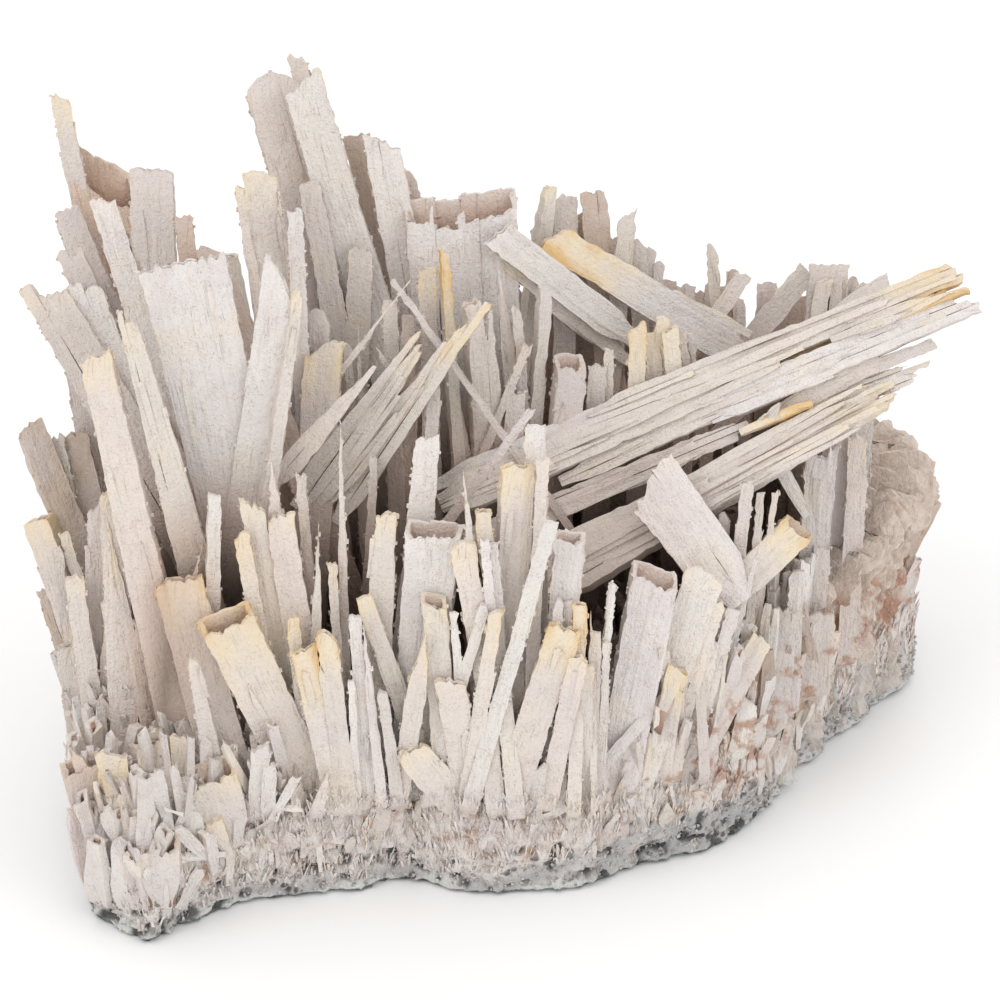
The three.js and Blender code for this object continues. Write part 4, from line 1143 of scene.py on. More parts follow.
# low block at the front left corner: crossed slats and open boxes
lowBlock = {"name": "lowBlock", "seed": 21, "loose": True, "splinters": 0.1, "rows": [
    ("om", -73.2, 47.8, -45, -71, 34, -50, 12.6, 12, 6, 0.45, 1, -6, 2.2),
    ("ob", -84, 48.4, -43, -80.4, 33, -48, 7.6, 8, 6, 0.35, -1, 8, 1.6),
    ("pb", -86, 50.9, -42, -81, 41, -46, 1.4, 4.2, 3, 0.4),
    ("om", -59.8, 46.4, -46, -54, 31, -45.5, 12.4, 11, 5, 0.45, -0.5, 0, 2.4),
    ("om", -68, 32.6, -57, -67.4, 19, -57, 7.6, 7.4, 4.6, 0.3, 0, 0, 2.2),
    ("sw", -61.4, 39.6, -51, -65.6, 33, -54, 1.8, 2.2, 1.8),
    ("sw", -65, 34.6, -55, -57.4, 27.6, -50, 2.6, 2.8, 2),
    ("sw", -67.4, 38.3, -55, -63.4, 37, -55, 1, 1.2, 1.2),
    ("sw", -64.4, 28.4, -54, -55, 29.2, -49, 1.8, 2, 1.6),
    ("sc", -57.4, 36.2, -49, -54.2, 29, -47, 3.2, 3.6, 3),
    ("sw", -59.8, 26.4, -52, -64.4, 18.4, -55, 2.2, 2.6, 2),
    ("sw", -84, 40, -48, -71, 19, -56, 4, 6, 3),
    ("sw", -79.6, 38.6, -50, -70, 22, -57, 3, 4, 2.6),
    ("sc", -75.6, 41.4, -51, -71.6, 24, -57, 2, 3.2, 2),
    ("sw", -72.4, 41, -52, -69.4, 30, -56, 1.6, 2.6, 2),
    ("sw", -69, 46, -51, -66, 34, -55, 3, 3.4, 2.6),
    ("sc", -78, 50.2, -44, -76, 38, -48, 6, 7, 4, 0.6),
    ("sc", -70, 51.6, -43, -69, 38, -47, 5, 6, 4, 0.3),
    ("sc", -64, 53.4, -42, -62.6, 40, -46, 4, 5, 3, 0.1),
]}

# blades that lie across others and end on them
resting = {"name": "resting", "seed": 22, "rests": True, "splinters": 0.12, "rows": [
    ("om", 35.6, 66.6, -27, 32.4, 58, -30, 4.6, 4.2, 3.4, 0.5, 0.5, 8),
    ("oc", 61, 95.6, 1, 44.5, 79.5, -14, 7, 6.6, 6, 0.7, 0, 0, 3.6),
    ("sw", 29.4, 105, -3.5, 48.5, 79.5, -16, 12.6, 10.6, 3.2, 0.2, -3.2),
    ("sw", 54.7, 109.2, 11, 61.4, 96.8, 9.5, 2.6, 3.8, 2.4, 0, -0.5),
    ("sw", -0.8, 153.3, 28, 27, 131.6, 32, 6.2, 6.4, 3, 0.05, 2),
    ("sc", 0.2, 147.7, 30, 27, 126.6, 33, 2.2, 3.4, 3),
    ("sg", 10.2, 138.4, 31, 22.5, 129.6, 33, 2, 2.6, 2.5),
    ("sw", 9.6, 152.8, 34, 49, 128.8, 40, 6.8, 8, 3, 1.1, 1),
    ("sc", 34, 141.4, 40, 50, 133, 44, 2, 3, 2, 0.4),
]}

fans = [leftFan, whiteFan, backFan, slantingPair, centre, rightBack, bundle]
fronts = [rightFront, frontRow, leftFront, lowBlock, resting]
pieces = [bladePiece(plan) for plan in fans + fronts]


# matrix: rings up the flank as height and inset, in millimetres
matrixPlan = {
    "name": "matrixSlab",
    "seed": 71,
    "step": 1.2,
    "flank": [
        (0.0, 0.9), (0.3, 0.0), (0.7, -0.6), (1.2, -0.9), (1.9, -0.8), (2.7, -0.6), (3.7, -0.5), (4.8, -0.5),
        (6.0, -0.6), (7.2, -0.7), (8.4, -0.7), (9.6, -0.7), (10.8, -0.7), (12.0, -0.7), (13.2, -0.6),
        (14.4, -0.5), (15.6, -0.4), (16.8, -0.2), (18.0, 0.1), (19.2, 0.6), (20.4, 1.3), (21.4, 2.2),
        (22.2, 3.5), (22.5, 5.2), (22.1, 7.2), (21.4, 9.4),
    ],
    "topShares": (0.1, 0.2, 0.32, 0.46, 0.62, 0.8, 0.95),
    "underShares": (0.12, 0.35, 0.65, 0.92),
    "middle": (0, 12),
    "fibre": 0.75,
    "crumbs": 0.8,
    "lumps": 0.7,
    "hollows": 3.0,
    "hollowBand": (0.6, 11.0),
    "rimWave": 1.3,
    "rimFrom": 12.0,
    "fields": {  # seed, and the step of the unevenness along the flank and up it
        "fibre": (5, 1.9, 9), "fineFibre": (6, 0.9, 3), "crumbs": (7, 1.7, 0.8), "fineCrumbs": (9, 0.8, 0.9),
        "hollows": (10, 1.9, 1.9), "lumps": (13, 3.4, 5.0), "rim": (12, 4.5, 40),
    },
    "topUneven": 0.5,
    # painted shade on the top of the slab, under the crowd
    "topDepth": 0.75,    # how dark the top of the slab is, under the crowd
}

# stone of the matrix: white and rosy felt above, grey and pitted below, a thin dark skin at the rim, with
# painted shade in the hollows of the flank and on the top under the crowd
matrixFinish = {
    "name": "matrixStone",
    "feltColour": (0.755, 0.71, 0.68, 1),
    "rosyFelt": (0.66, 0.555, 0.50, 1),
    "rustColour": (0.45, 0.27, 0.185, 1),
    "greyColour": (0.42, 0.415, 0.41, 1),
    "pitColour": (0.07, 0.07, 0.068, 1),
    "paleBand": (0.66, 0.70, 0.675, 1),
    "skinColour": (0.085, 0.10, 0.095, 1),
    "deepColour": (0.16, 0.105, 0.08, 1),
    "streakColour": (0.42, 0.31, 0.245, 1),
    # noise: scale, detail and roughness
    "broad": (60.0, 3.0, 0.6),
    "fibre": (620.0, 3.0, 0.65),
    "streak": (260.0, 2.0, 0.6),
    "mottle": (420.0, 3.0, 0.65),
    "grain": (1500.0, 2.0, 0.6),
    "sugar": (2900.0, 1.0),
    "rustNoise": (88.0, 2.0),
    "pitScale": 430.0,
    "upright": 0.22,            # how far fibres and streaks are drawn out upwards
    "wander": 0.014,            # how far the edges of the bands wander, in metres
    "skinWander": 0.0028,
    # ramps: from, to and, where they aren't 0 and 1, the value at each; heights in metres
    "streaks": (0.52, 0.68, 0.0, 0.0),
    "rust": (0.55, 0.64),
    "rustBottom": (0.006, 0.010),
    "rustTop": (0.05, 0.06, 1.0, 0.0),
    "rustByMottle": (0.30, 0.55, 0.45, 0.95),
    "greyClimb": (-0.01, 0.025, 0.0, 0.0065),  # the grey band reaches higher to the right
    "greyTop": (0.0028, 0.0068, 1.0, 0.0),
    "greyByBroad": (0.38, 0.60, 0.35, 0.95),
    "specks": (0.54, 0.70),
    "speckShare": 0.4,
    "pits": (0.26, 0.42, 1.0, 0.0),
    "pitsByBroad": (0.44, 0.60),
    "pitsTop": (0.0055, 0.0075, 1.0, 0.0),
    "pitShare": 0.92,
    "roughness": 0.78,
    "grainRelief": 0.9,
    "reliefDepth": 0.0007,
    "reliefStrength": 0.85,
    "layers": [  # pattern, colour over, and a ramp of the pattern: from, to, share at each
        ("mottle", "rosyFelt", (0.42, 0.66, 0.0, 0.6)),
        ("streak", "streakColour", None),
        ("rust", "rustColour", None),
        ("hollow", "rustColour", (0.1, 1.0, 0.0, 0.85)),
        ("grey", "greyColour", None),
        ("level", "paleBand", (0.0010, 0.0026, 0.6, 0.0)),
        ("fibre", "rosyFelt", (0.52, 0.70, 0.0, 0.4)),
        ("speck", "greyColour", None),
        ("pits", "pitColour", None),
        # painted shade in the hollows of the flank
        ("vug", "pitColour", (0.1, 0.8, 0.0, 0.9)),
        ("skin", "skinColour", (0.0005, 0.0011, 0.9, 0.0)),
        # painted shade on the top of the slab, under the crowd
        ("deep", "deepColour", (0.0, 1.0, 0.0, 0.85)),
    ],
}

# stone of the sheer end: sandy beige above, rust in the pockets, the same grey below
wallFinish = dict(matrixFinish)
wallFinish.update({
    "name": "wallStone",
    "feltColour": (0.70, 0.60, 0.52, 1),
    "rosyFelt": (0.54, 0.415, 0.335, 1),
    "rustColour": (0.46, 0.25, 0.17, 1),
    "greyColour": (0.56, 0.555, 0.54, 1),
    "rustNoise": (120.0, 2.0),
    "streaks": (0.52, 0.68, 0.0, 0.6),
    "rust": (0.49, 0.58),
    "rustBottom": (0.016, 0.020),
    "rustTop": (0.034, 0.040, 1.0, 0.0),
    "greyClimb": (-0.01, 0.025, 0.0, 0.0),
    "greyTop": (0.014, 0.018, 1.0, 0.0),
})


def stoneMaterial(finish):
    material, shader = newMaterial(finish["name"])
    tree = material.node_tree
    node, mathNode, product, ramp, mixColour, noise = makers(tree)
    place3d = node("ShaderNodeTexCoord").outputs["Object"]
    axes = node("ShaderNodeSeparateXYZ", {"Vector": place3d}).outputs
    vug, hollow, deep = marksOf(node)
    keys = {"Vector": place3d, "Scale": (1, 1, finish["upright"])}
    upright = node("ShaderNodeMapping", keys).outputs["Vector"]
    broad = noise(place3d, *finish["broad"])
    rust = noise(place3d, *finish["rustNoise"])
    fibre = noise(upright, *finish["fibre"])
    streak = noise(upright, *finish["streak"])
    mottle = noise(place3d, *finish["mottle"])
    grain = noise(place3d, *finish["grain"])
    sugar = noise(place3d, *finish["sugar"])
    pits = node("ShaderNodeTexVoronoi", {"Vector": place3d, "Scale": finish["pitScale"]}).outputs["Distance"]

    def ramped(value, name):
        return ramp(value, *finish[name])

    def wandering(pattern, reach):
        # a height that wanders, so that no band has a level edge
        return mathNode("ADD", axes["Z"], product(mathNode("SUBTRACT", pattern, 0.5), reach))

    level = wandering(broad, finish["wander"])
    greyLevel = mathNode("SUBTRACT", level, ramped(axes["X"], "greyClimb"))
    rustBand = product(ramped(rust, "rust"), ramped(level, "rustBottom"), ramped(level, "rustTop"))
    pitted = product(ramped(pits, "pits"), ramped(broad, "pitsByBroad"), ramped(greyLevel, "pitsTop"))
    patterns = {
        "mottle": mottle,
        "streak": ramped(streak, "streaks"),
        "rust": product(rustBand, ramped(mottle, "rustByMottle")),
        "hollow": hollow,
        "grey": product(ramped(greyLevel, "greyTop"), ramped(broad, "greyByBroad")),
        "level": level,
        "fibre": fibre,
        "speck": product(ramped(sugar, "specks"), finish["speckShare"]),
        "pits": product(pitted, finish["pitShare"]),
        "vug": vug,
        "skin": wandering(mottle, finish["skinWander"]),
        "deep": deep,
    }
    colour = layered(finish["feltColour"], patterns, finish, ramp, mixColour)
    tree.links.new(colour, shader.inputs["Base Color"])
    shader.inputs["Roughness"].default_value = finish["roughness"]
    relief = mathNode("ADD", fibre, product(grain, finish["grainRelief"]))
    relief = mathNode("SUBTRACT", relief, pitted)
    keys = {"Strength": finish["reliefStrength"], "Distance": finish["reliefDepth"], "Height": relief}
    tree.links.new(node("ShaderNodeBump", keys).outputs["Normal"], shader.inputs["Normal"])
    return material


matrixStone = stoneMaterial(matrixFinish)
wallStone = stoneMaterial(wallFinish)
print("stage: stone")


def matrixPiece(plan):
    rng = np.random.default_rng(plan["seed"])
    line, outward, where = footLine(plan["step"])
    n = len(line)

    def field(name, height):
        # the same seed gives the same field for every ring, so it runs on from ring to ring
        seed, alongStep, upStep = plan["fields"][name]
        return waver2(where / alongStep, np.full(n, height / upStep + 5), np.random.default_rng(seed))

    flank, vugs = [], []
    for height, inset in plan["flank"]:
        upper = min(max((height - 2) / 6, 0), 1)
        fibre = field("fibre", height) + 0.6 * field("fineFibre", height)
        crumbs = field("crumbs", height) + 0.6 * field("fineCrumbs", height)
        hollows = np.clip(field("hollows", height) - 0.30, 0, 1) * plan["hollows"]
        hollows *= plan["hollowBand"][0] < height < plan["hollowBand"][1]
        push = upper * plan["fibre"] * fibre + (1 - upper) * plan["crumbs"] * crumbs * (height > 0)
        push += plan["lumps"] * field("lumps", height) * upper - hollows
        # painted shade in the hollows of the flank, darker where they go deeper
        vugs.append(np.clip(hollows / 1.3, 0, 1))
        wavy = plan["rimWave"] * field("rim", 0) * (height > plan["rimFrom"])
        flank.append(np.column_stack([line + outward * (push - inset)[:, None], height + wavy]))

    # the underside and the top run in to a middle point
    middle = np.array(plan["middle"], float)
    top = plan["flank"][-1][0]

    def inwards(ring, share, heights):
        return np.column_stack([ring[:, :2] * (1 - share) + middle * share, heights])

    under = [inwards(flank[0], share, np.zeros(n)) for share in reversed(plan["underShares"])]
    over = []
    for share in plan["topShares"]:
        over.append(inwards(flank[-1], share, top + rng.normal(0, plan["topUneven"], n)))
    rings = under + flank + over
    points = np.concatenate(rings + [np.array([(*middle, 0.0), (*middle, top)])])
    points[:, 1] += setOut["middleBack"]

    ids = np.arange(n * len(rings)).reshape(len(rings), n)
    nextIds = np.roll(ids, -1, axis=1)
    lowPole, highPole = np.full(n, ids.size), np.full(n, ids.size + 1)
    faces = np.concatenate([
        ringFaces(ids),
        np.stack([lowPole, nextIds[0], ids[0], ids[0]], -1),
        np.stack([highPole, ids[-1], nextIds[-1], nextIds[-1]], -1),
    ])
    around = np.concatenate([np.tile(where, len(rings)), [0, 0]])
    uvs = np.stack([around, points[:, 2]], -1) / bladeMake["grainSize"]
    marks = np.zeros((len(points), 3))
    flankStart = n * len(under)
    marks[flankStart:flankStart + n * len(flank), 0] = np.concatenate(vugs)
    # painted shade on the top rings, under the crowd
    marks[flankStart + n * (len(flank) - 2):-2, 2] = plan["topDepth"]
    sheaf = Sheaf()
    sheaf.add(points, faces, uvs, np.ones((len(points), 3)), marks)
    return sheaf.build(plan["name"], matrixStone)


# sheer right end: a crumbly wall with an upright grain; middle line as across, back, top
sheerEnd = {
    "name": "sheerEnd",
    "seed": 81,
    "line": [
        (52, -12, 24), (57, -4, 27), (60, 3, 31), (64, 7, 36), (68, 14, 42), (73.5, 19.5, 50), (79, 29, 50),
        (83, 33.5, 50), (83.5, 41, 51), (82.5, 50, 51), (79.5, 58, 50), (72, 66.5, 48),
    ],
    "foot": 2.5,
    "step": 0.62,
    "rise": 0.8,
    "thick": 9.0,
    "softenings": 6,
    "leanOut": 2.4,
    "bulge": {"by": 4.2, "height": 46.0, "reach": 6.5},
    "ribs": 1.9,
    "crumbs": 0.8,
    "crest": 2.2,
    "pockets": 2.2,
    "pocketBand": {"from": 8.0, "full": 4.0, "upTo": 36.0, "fade": 9.0, "least": 0.12},
    "thinEnds": {"reach": 5.0, "inset": 2.5, "least": 0.15},
    "fields": {  # seed, the step of the unevenness along the wall and up it, and how far it slants
        "broadRibs": (3, 6.0, 45, 0.10), "ribs": (4, 2.4, 15, 0.10), "fineRibs": (8, 1.0, 12, 0.10),
        "crumbs": (5, 0.8, 1.1, 0.0), "lumps": (6, 1.9, 2.4, 0.0), "pockets": (7, 3.2, 4.5, 0.0),
        "crest": (11, 2.6, 3.0, 0.0),
    },
    "over": ((0.12, -0.5), (0.35, 0.4), (0.65, 0.2), (1.0, 2.5)),  # share of the way over the crest, drop
    "down": (0.75, 0.5, 0.25, 0.0),  # levels of the hidden side
}


def wallPiece(plan):
    rng = np.random.default_rng(plan["seed"])
    line = np.array(plan["line"], float)
    stations = stationsOf(line)
    where = np.arange(0, stations[-1], plan["step"])
    n = len(where)
    sampled = pointAt(line, stations, where)
    middle, top = sampled[:, :2], sampled[:, 2]
    for turn in range(plan["softenings"]):
        middle[1:-1] = softened(middle[1:-1], (middle[:-2], middle[2:]))
    outward = outwardOf(np.gradient(middle, axis=0))
    top += plan["crest"] * waver(where / 4.5, rng) + 0.6 * plan["crest"] * waver(where / 1.7, rng)
    rows = int(top.max() / plan["rise"])
    height = plan["foot"] + np.linspace(0, 1, rows)[:, None] * (top - plan["foot"])[None, :]

    def field(name):
        seed, alongStep, upStep, slant = plan["fields"][name]
        along = (where + slant * height) / alongStep
        return waver2(along + 30, height / upStep + 30, np.random.default_rng(seed))

    ribs = np.abs(field("broadRibs")) * 1.4 + field("ribs") * 0.8 + np.abs(field("fineRibs"))
    crumbs = field("crumbs") + 0.9 * field("lumps")
    band = plan["pocketBand"]
    pocket = np.clip(field("pockets") - 0.30, 0, 1) * np.clip((height - band["from"]) / band["full"], 0, 1)
    pocket *= np.clip((band["upTo"] - height) / band["fade"], band["least"], 1)
    bulge = plan["bulge"]
    push = plan["ribs"] * ribs + plan["crumbs"] * crumbs - plan["pockets"] * pocket
    push += plan["leanOut"] * (height / 60) ** 1.6 - 1.4
    push += bulge["by"] * np.exp(-((height - bulge["height"]) / bulge["reach"]) ** 2)
    thin = plan["thinEnds"]
    taper = np.clip(np.minimum(where, stations[-1] - where) / thin["reach"], 0, 1) ** 0.5
    outer = middle[None] + outward[None] * (push - thin["inset"] * (1 - taper))[..., None]
    inner = middle - outward * plan["thick"] * np.maximum(taper, thin["least"])[:, None]
    rings = [np.column_stack([outer[k], height[k]]) for k in range(rows)]
    for share, drop in plan["over"]:
        level = top - drop + 0.55 * rng.normal(0, 1, n)
        rings.append(np.column_stack([outer[-1] * (1 - share) + inner * share, level]))
    for level in plan["down"]:
        rings.append(np.column_stack([inner, plan["foot"] + level * (top - plan["foot"])]))
    rings = np.array(rings)
    rings[..., 1] += setOut["middleBack"]

    # the rings run on round the wall, and each end is closed on its own middle
    ringCount = len(rings)
    ids = np.arange(ringCount * n).reshape(ringCount, n)
    after = np.roll(ids, -1, axis=0)
    faces = [np.stack([ids[:, :-1], ids[:, 1:], after[:, 1:], after[:, :-1]], -1).reshape(-1, 4)]
    points = rings.reshape(-1, 3)
    for column, way in ((0, 1), (n - 1, -1)):
        loop = ids[:, column][::way]
        ahead = np.roll(loop, -1)
        faces.append(np.stack([np.full(ringCount, len(points)), loop, ahead, ahead], -1))
        points = np.concatenate([points, points[loop].mean(0)[None]])
    around = np.append(np.tile(where, ringCount), [0, 0])
    uvs = np.stack([around, points[:, 2]], -1) / bladeMake["grainSize"]
    tones = np.ones((len(points), 3)) * bladeTones["e"]
    marks = np.zeros((len(points), 3))
    nearCrest = np.clip(1 - (top[None] - height) / 5, 0, 1) * (0.35 + 0.3 * field("crest"))
    marks[:rows * n, 1] = 0.8 * np.clip(pocket * 3.0 + nearCrest, 0, 1).ravel()
    sheaf = Sheaf()
    sheaf.add(points, np.concatenate(faces), uvs, tones, marks)
    return sheaf.build(plan["name"], wallStone)


# skirt of short laths over the front flank, under the front row; foot line as across, back, top
frontSkirt = {
    "name": "frontSkirt",
    "seed": 82,
    "line": [
        (-54, -45, 27), (-49, -43, 27), (-42, -42.5, 25), (-37, -41, 25), (-28, -40, 25), (-24, -37, 25),
        (-19, -35, 27), (-14, -37, 26), (-8, -40, 26), (0, -40.5, 25), (8, -39.5, 26), (17, -39, 28),
        (23, -34, 31), (28, -30.5, 34), (33, -28.5, 35), (42, -25.5, 36), (48, -19, 37), (54, -11, 38),
        (59, 0, 40), (65, 8, 43),
    ],
    # inset, share of the top, lean outwards
    "layers": [(-0.5, 0.52, 0.2), (0.1, 0.72, 0.3), (1.0, 0.95, 0.6), (2.6, 1.15, 0.9), (4.6, 1.28, 1.2)],
    "spacing": 2.1,
    "insetSpread": (-0.8, 0.8),
    "footHeight": 5.0,
    "footSpread": 8.0,
    "leastHeight": 4.0,
    "topSpread": (0.62, 1.15),
    "sway": 2.5,
    "width": (1.0, 4.6),
    "thickness": (0.9, 2.2),
    "roll": (-30, 30),
    "openShare": 0.1,
    "openFrom": 1.8,
    "pointedShare": 0.25,
    "stained": (0.3, 0.35),    # share of the laths, most stain
    "tones": "mmwgcw",
    "make": dict(
        bladeMake, ringStep=2.4, tipStep=1.3, tipZone=4, columnStep=1.1, hollowDepth=3.0, footTaper=5.0,
        tucked=False,
    ),
}

# the rest of the flank, round the back and the left side
backSkirt = dict(frontSkirt)
backSkirt.update({
    "name": "backSkirt",
    "seed": 83,
    "line": [
        (73, 67.5, 46), (62, 69.5, 34), (50, 71, 27), (22, 72, 26), (-10, 72, 27), (-38, 69, 28),
        (-58, 60.5, 28), (-73, 42, 28), (-83, 19, 28), (-86, -2, 29), (-84, -22, 30), (-81.5, -34, 32),
    ],
    "layers": [(1.0, 0.8, 0.6), (3.0, 1.1, 1.6)],
    "spacing": 2.8,
    "width": (1.8, 4.6),
    "thickness": (1.4, 2.6),
    "sway": 2.2,
    "tones": "mgwmg",
    "make": dict(
        bladeMake, ringStep=4, tipStep=2.2, tipZone=4, columnStep=1.6, hollowDepth=3.0, tucked=False,
    ),
})

# low block at the front left corner: short crowded laths of one height
cornerBlock = dict(frontSkirt)
cornerBlock.update({
    "name": "cornerBlock",
    "seed": 84,
    "line": [
        (-83, -33, 33), (-81.5, -41, 33), (-80.5, -49, 32), (-74.5, -54.5, 30), (-69, -58, 28),
        (-64.5, -53.5, 29), (-60, -50.5, 31), (-55, -46.5, 32), (-51, -44, 30),
    ],
    "layers": [
        (-0.6, 0.72, 0.2), (0.6, 0.9, 0.2), (2.4, 1.0, 0.2), (5.0, 1.04, 0.0), (8.0, 1.03, 0.0),
        (11.0, 1.0, 0.0), (14.0, 1.0, 0.0),
    ],
    "spacing": 2.4,
    "footHeight": 4.0,
    "footSpread": 10.0,
    "topSpread": (0.86, 1.05),
    "sway": 2.2,
    "width": (1.8, 5.4),
    "thickness": (1.4, 3.2),
    "openShare": 0.45,
    "tones": "wmwmw",
})


def skirtBlade(plan, across, back, top, ahead, layer, rng):
    # one lath of a skirt; its foot is set in from the line and its head leans out over it
    inset, topShare, leanOut = layer
    out = outwardOf(ahead)
    foot = np.array([across, back]) - out * (inset + rng.uniform(*plan["insetSpread"]))
    lowest = plan["footHeight"] + rng.uniform(0, plan["footSpread"])
    height = max(lowest + plan["leastHeight"], top * topShare * rng.uniform(*plan["topSpread"]))
    sway = np.clip(rng.normal(0, 1, 2), -1.5, 1.5) * plan["sway"]
    head = foot + out * leanOut * (height / top) + sway * min(height, 34) / 30
    width = rng.uniform(*plan["width"])
    isOpen = rng.random() < plan["openShare"] and width > plan["openFrom"]
    stainedShare, mostStain = plan["stained"]
    return {
        "foot": np.array([foot[0], foot[1] + setOut["middleBack"], lowest]),
        "tip": np.array([head[0], head[1] + setOut["middleBack"], height]),
        "facing": np.array([out[0], out[1], 0.2]),
        "tipWidth": width * rng.uniform(0.6, 1.0),
        "footWidth": width,
        "thickness": rng.uniform(*plan["thickness"]),
        "roll": rng.uniform(*plan["roll"]),
        "slant": rng.uniform(-1, 1),
        "end": "o" if isOpen else ("s" if rng.random() < 1 - plan["pointedShare"] else "p"),
        "tone": plan["tones"][rng.integers(len(plan["tones"]))],
        "stain": rng.uniform(0, mostStain) if rng.random() < stainedShare else 0.0,
        "frontDrop": 0.6 if isOpen else 0.0,
        "rests": True,
    }


def skirtPiece(plan):
    # upright laths side by side in layers along the foot line
    rng = np.random.default_rng(plan["seed"])
    line = np.array(plan["line"], float)
    stations = stationsOf(line)
    blades = []
    for layer in plan["layers"]:
        where = rng.uniform(0, plan["spacing"])
        while where < stations[-1]:
            across, back, top = pointAt(line, stations, where)
            ahead = pointAt(line, stations, where + 1) - pointAt(line, stations, where - 1)
            blades.append(skirtBlade(plan, across, back, top, ahead[:2], layer, rng))
            where += plan["spacing"] * rng.uniform(0.7, 1.3)
    sheaf = Sheaf()
    for blade in blades:
        addBlade(sheaf, blade, rng, plan["make"])
    return sheaf.build(plan["name"], quartz)


matrixSlab = matrixPiece(matrixPlan)
pieces += [matrixSlab, wallPiece(sheerEnd)]
pieces += [skirtPiece(plan) for plan in (frontSkirt, backSkirt, cornerBlock)]

# blades set out by rule: rows behind the skyline that lean out over the back edge, and broad low
# ones on the ground between the tall blades
backRows = {
    "name": "backRows",
    "seed": 85,
    "firstMark": 0,
    "rows": [
        {"back": 41, "first": -72, "step": 15, "count": 11, "share": 0.96, "leanBack": 6},
        {"back": 53, "first": -62, "step": 14, "count": 10, "share": 1.0, "leanBack": 11},
        {"back": 62, "first": -52, "step": 13.5, "count": 10, "share": 0.78, "leanBack": 13},
    ],
    "skyline": {"low": 63, "peak": 30, "peakAcross": -36, "peakReach": 34},
    "sideFrom": 74,      # past this, blades stand lower, behind the sheer end
    "sideShare": 0.72,
    "shift": (-2.5, 2.5),
    "heightShare": (0.8, 1.06),
    "leanShare": (0.4, 1.4),
    "leanAcross": (-7, 7),
    "fanOut": 1.12,
    "tipWidth": (3.6, 8.6),
    "footWidth": (6, 11),
    "thickness": (2.4, 4),
    "roll": (-25, 25),
    "slant": (-1.5, 1.5),
    "openEvery": 7,
    "mostStain": 0.4,
    "splinters": 0.5,
    "tones": "wgcgbw",
}

groundBlades = {
    "name": "groundBlades",
    "seed": 86,
    "firstMark": 700,
    "rows": [
        {"back": -17, "first": -52, "step": 24, "count": 5, "height": 38},
        {"back": 4, "first": -64, "step": 25, "count": 6, "height": 46},
        {"back": 24, "first": -56, "step": 25, "count": 5, "height": 52},
        {"back": 27, "first": -57, "step": 10.5, "count": 3, "height": 78},
        {"back": -8, "first": -78, "step": 10, "count": 2, "height": 41},
        {"back": 9, "first": -78, "step": 10, "count": 2, "height": 47},
        {"back": 27, "first": -72, "step": 10, "count": 1, "height": 54},
    ],
    "shift": (-2.5, 2.5),
    "heightShare": (0.85, 1.15),
    "leanAcross": (-8, 8),
    "leanBack": (-4, 4),
    "tipWidth": (6, 9),
    "footWidth": (13, 18),
    "thickness": 5,
    "roll": (-30, 30),
    "mostStain": 0.4,
    "splinters": 0.6,
    "tones": "gbgw",
}
slabTop = 21.0
coarseMake = dict(bladeMake, columnStep=1.2, ringStep=3.6, tipStep=1.5)


# the same repeatable unevenness as the solid, so these blades stand where its rows do
def uneven(seed):
    wave = math.sin(seed * 12.9898) * 43758.5453
    return wave - math.floor(wave)


def between(span, seed):
    return span[0] + (span[1] - span[0]) * uneven(seed)


def backBlade(plan, row, across, mark):
    sky = plan["skyline"]
    offPeak = (across - sky["peakAcross"]) / sky["peakReach"]
    swell = sky["low"] + sky["peak"] * math.exp(-offPeak * offPeak)
    height = swell * row["share"] * between(plan["heightShare"], mark + 7)
    height *= plan["sideShare"] if across > plan["sideFrom"] else 1.0
    tipAcross = across * plan["fanOut"] + between(plan["leanAcross"], mark + 11)
    tipBack = row["back"] + row["leanBack"] * between(plan["leanShare"], mark + 13)
    return {
        "tip": np.array([tipAcross, tipBack + setOut["middleBack"], height]),
        "facing": np.array([0, 0.95, 0.3]),
        "thickness": between(plan["thickness"], mark + 23),
        "roll": between(plan["roll"], mark + 29),
        "slant": between(plan["slant"], mark + 31),
        "end": "o" if mark % plan["openEvery"] == 3 else "s",
    }


def groundBlade(plan, row, across, mark):
    height = row["height"] * between(plan["heightShare"], mark + 13)
    tipAcross = across + between(plan["leanAcross"], mark + 7)
    tipBack = row["back"] + between(plan["leanBack"], mark + 11)
    return {
        "tip": np.array([tipAcross, tipBack + setOut["middleBack"], height]),
        "facing": faceOn,
        "thickness": plan["thickness"],
        "roll": between(plan["roll"], mark + 23),
        "end": "s",
    }


def ruledPiece(plan, bladeAt):
    rng = np.random.default_rng(plan["seed"])
    sheaf = Sheaf()
    for rowIndex, row in enumerate(plan["rows"]):
        for i in range(row["count"]):
            mark = plan["firstMark"] + 100 * rowIndex + i
            across = row["first"] + row["step"] * i + between(plan["shift"], mark)
            blade = bladeAt(plan, row, across, mark)
            blade["foot"] = np.array([across, row["back"] + setOut["middleBack"], slabTop])
            blade["tipWidth"] = between(plan["tipWidth"], mark + 17)
            blade["footWidth"] = between(plan["footWidth"], mark + 19)
            blade["tone"] = plan["tones"][mark % len(plan["tones"])]
            blade["stain"] = plan["mostStain"] * uneven(mark + 37)
            addBlade(sheaf, blade, rng, coarseMake)
            addSplinters(sheaf, blade, rng, plan["splinters"])
    return sheaf.build(plan["name"], quartz)


pieces.append(ruledPiece(backRows, backBlade))
pieces.append(ruledPiece(groundBlades, groundBlade))


# small shapes, one unit long, that geometry nodes scatter over a host surface
def template(name, points, faces, uvAt):
    mesh = bpy.data.meshes.new(name)
    mesh.from_pydata(points, [], faces)
    layer = mesh.uv_layers.new(name="grain")
    for loop in mesh.loops:
        layer.data[loop.index].uv = uvAt(*mesh.vertices[loop.vertex_index].co)
    return linked(name, mesh)


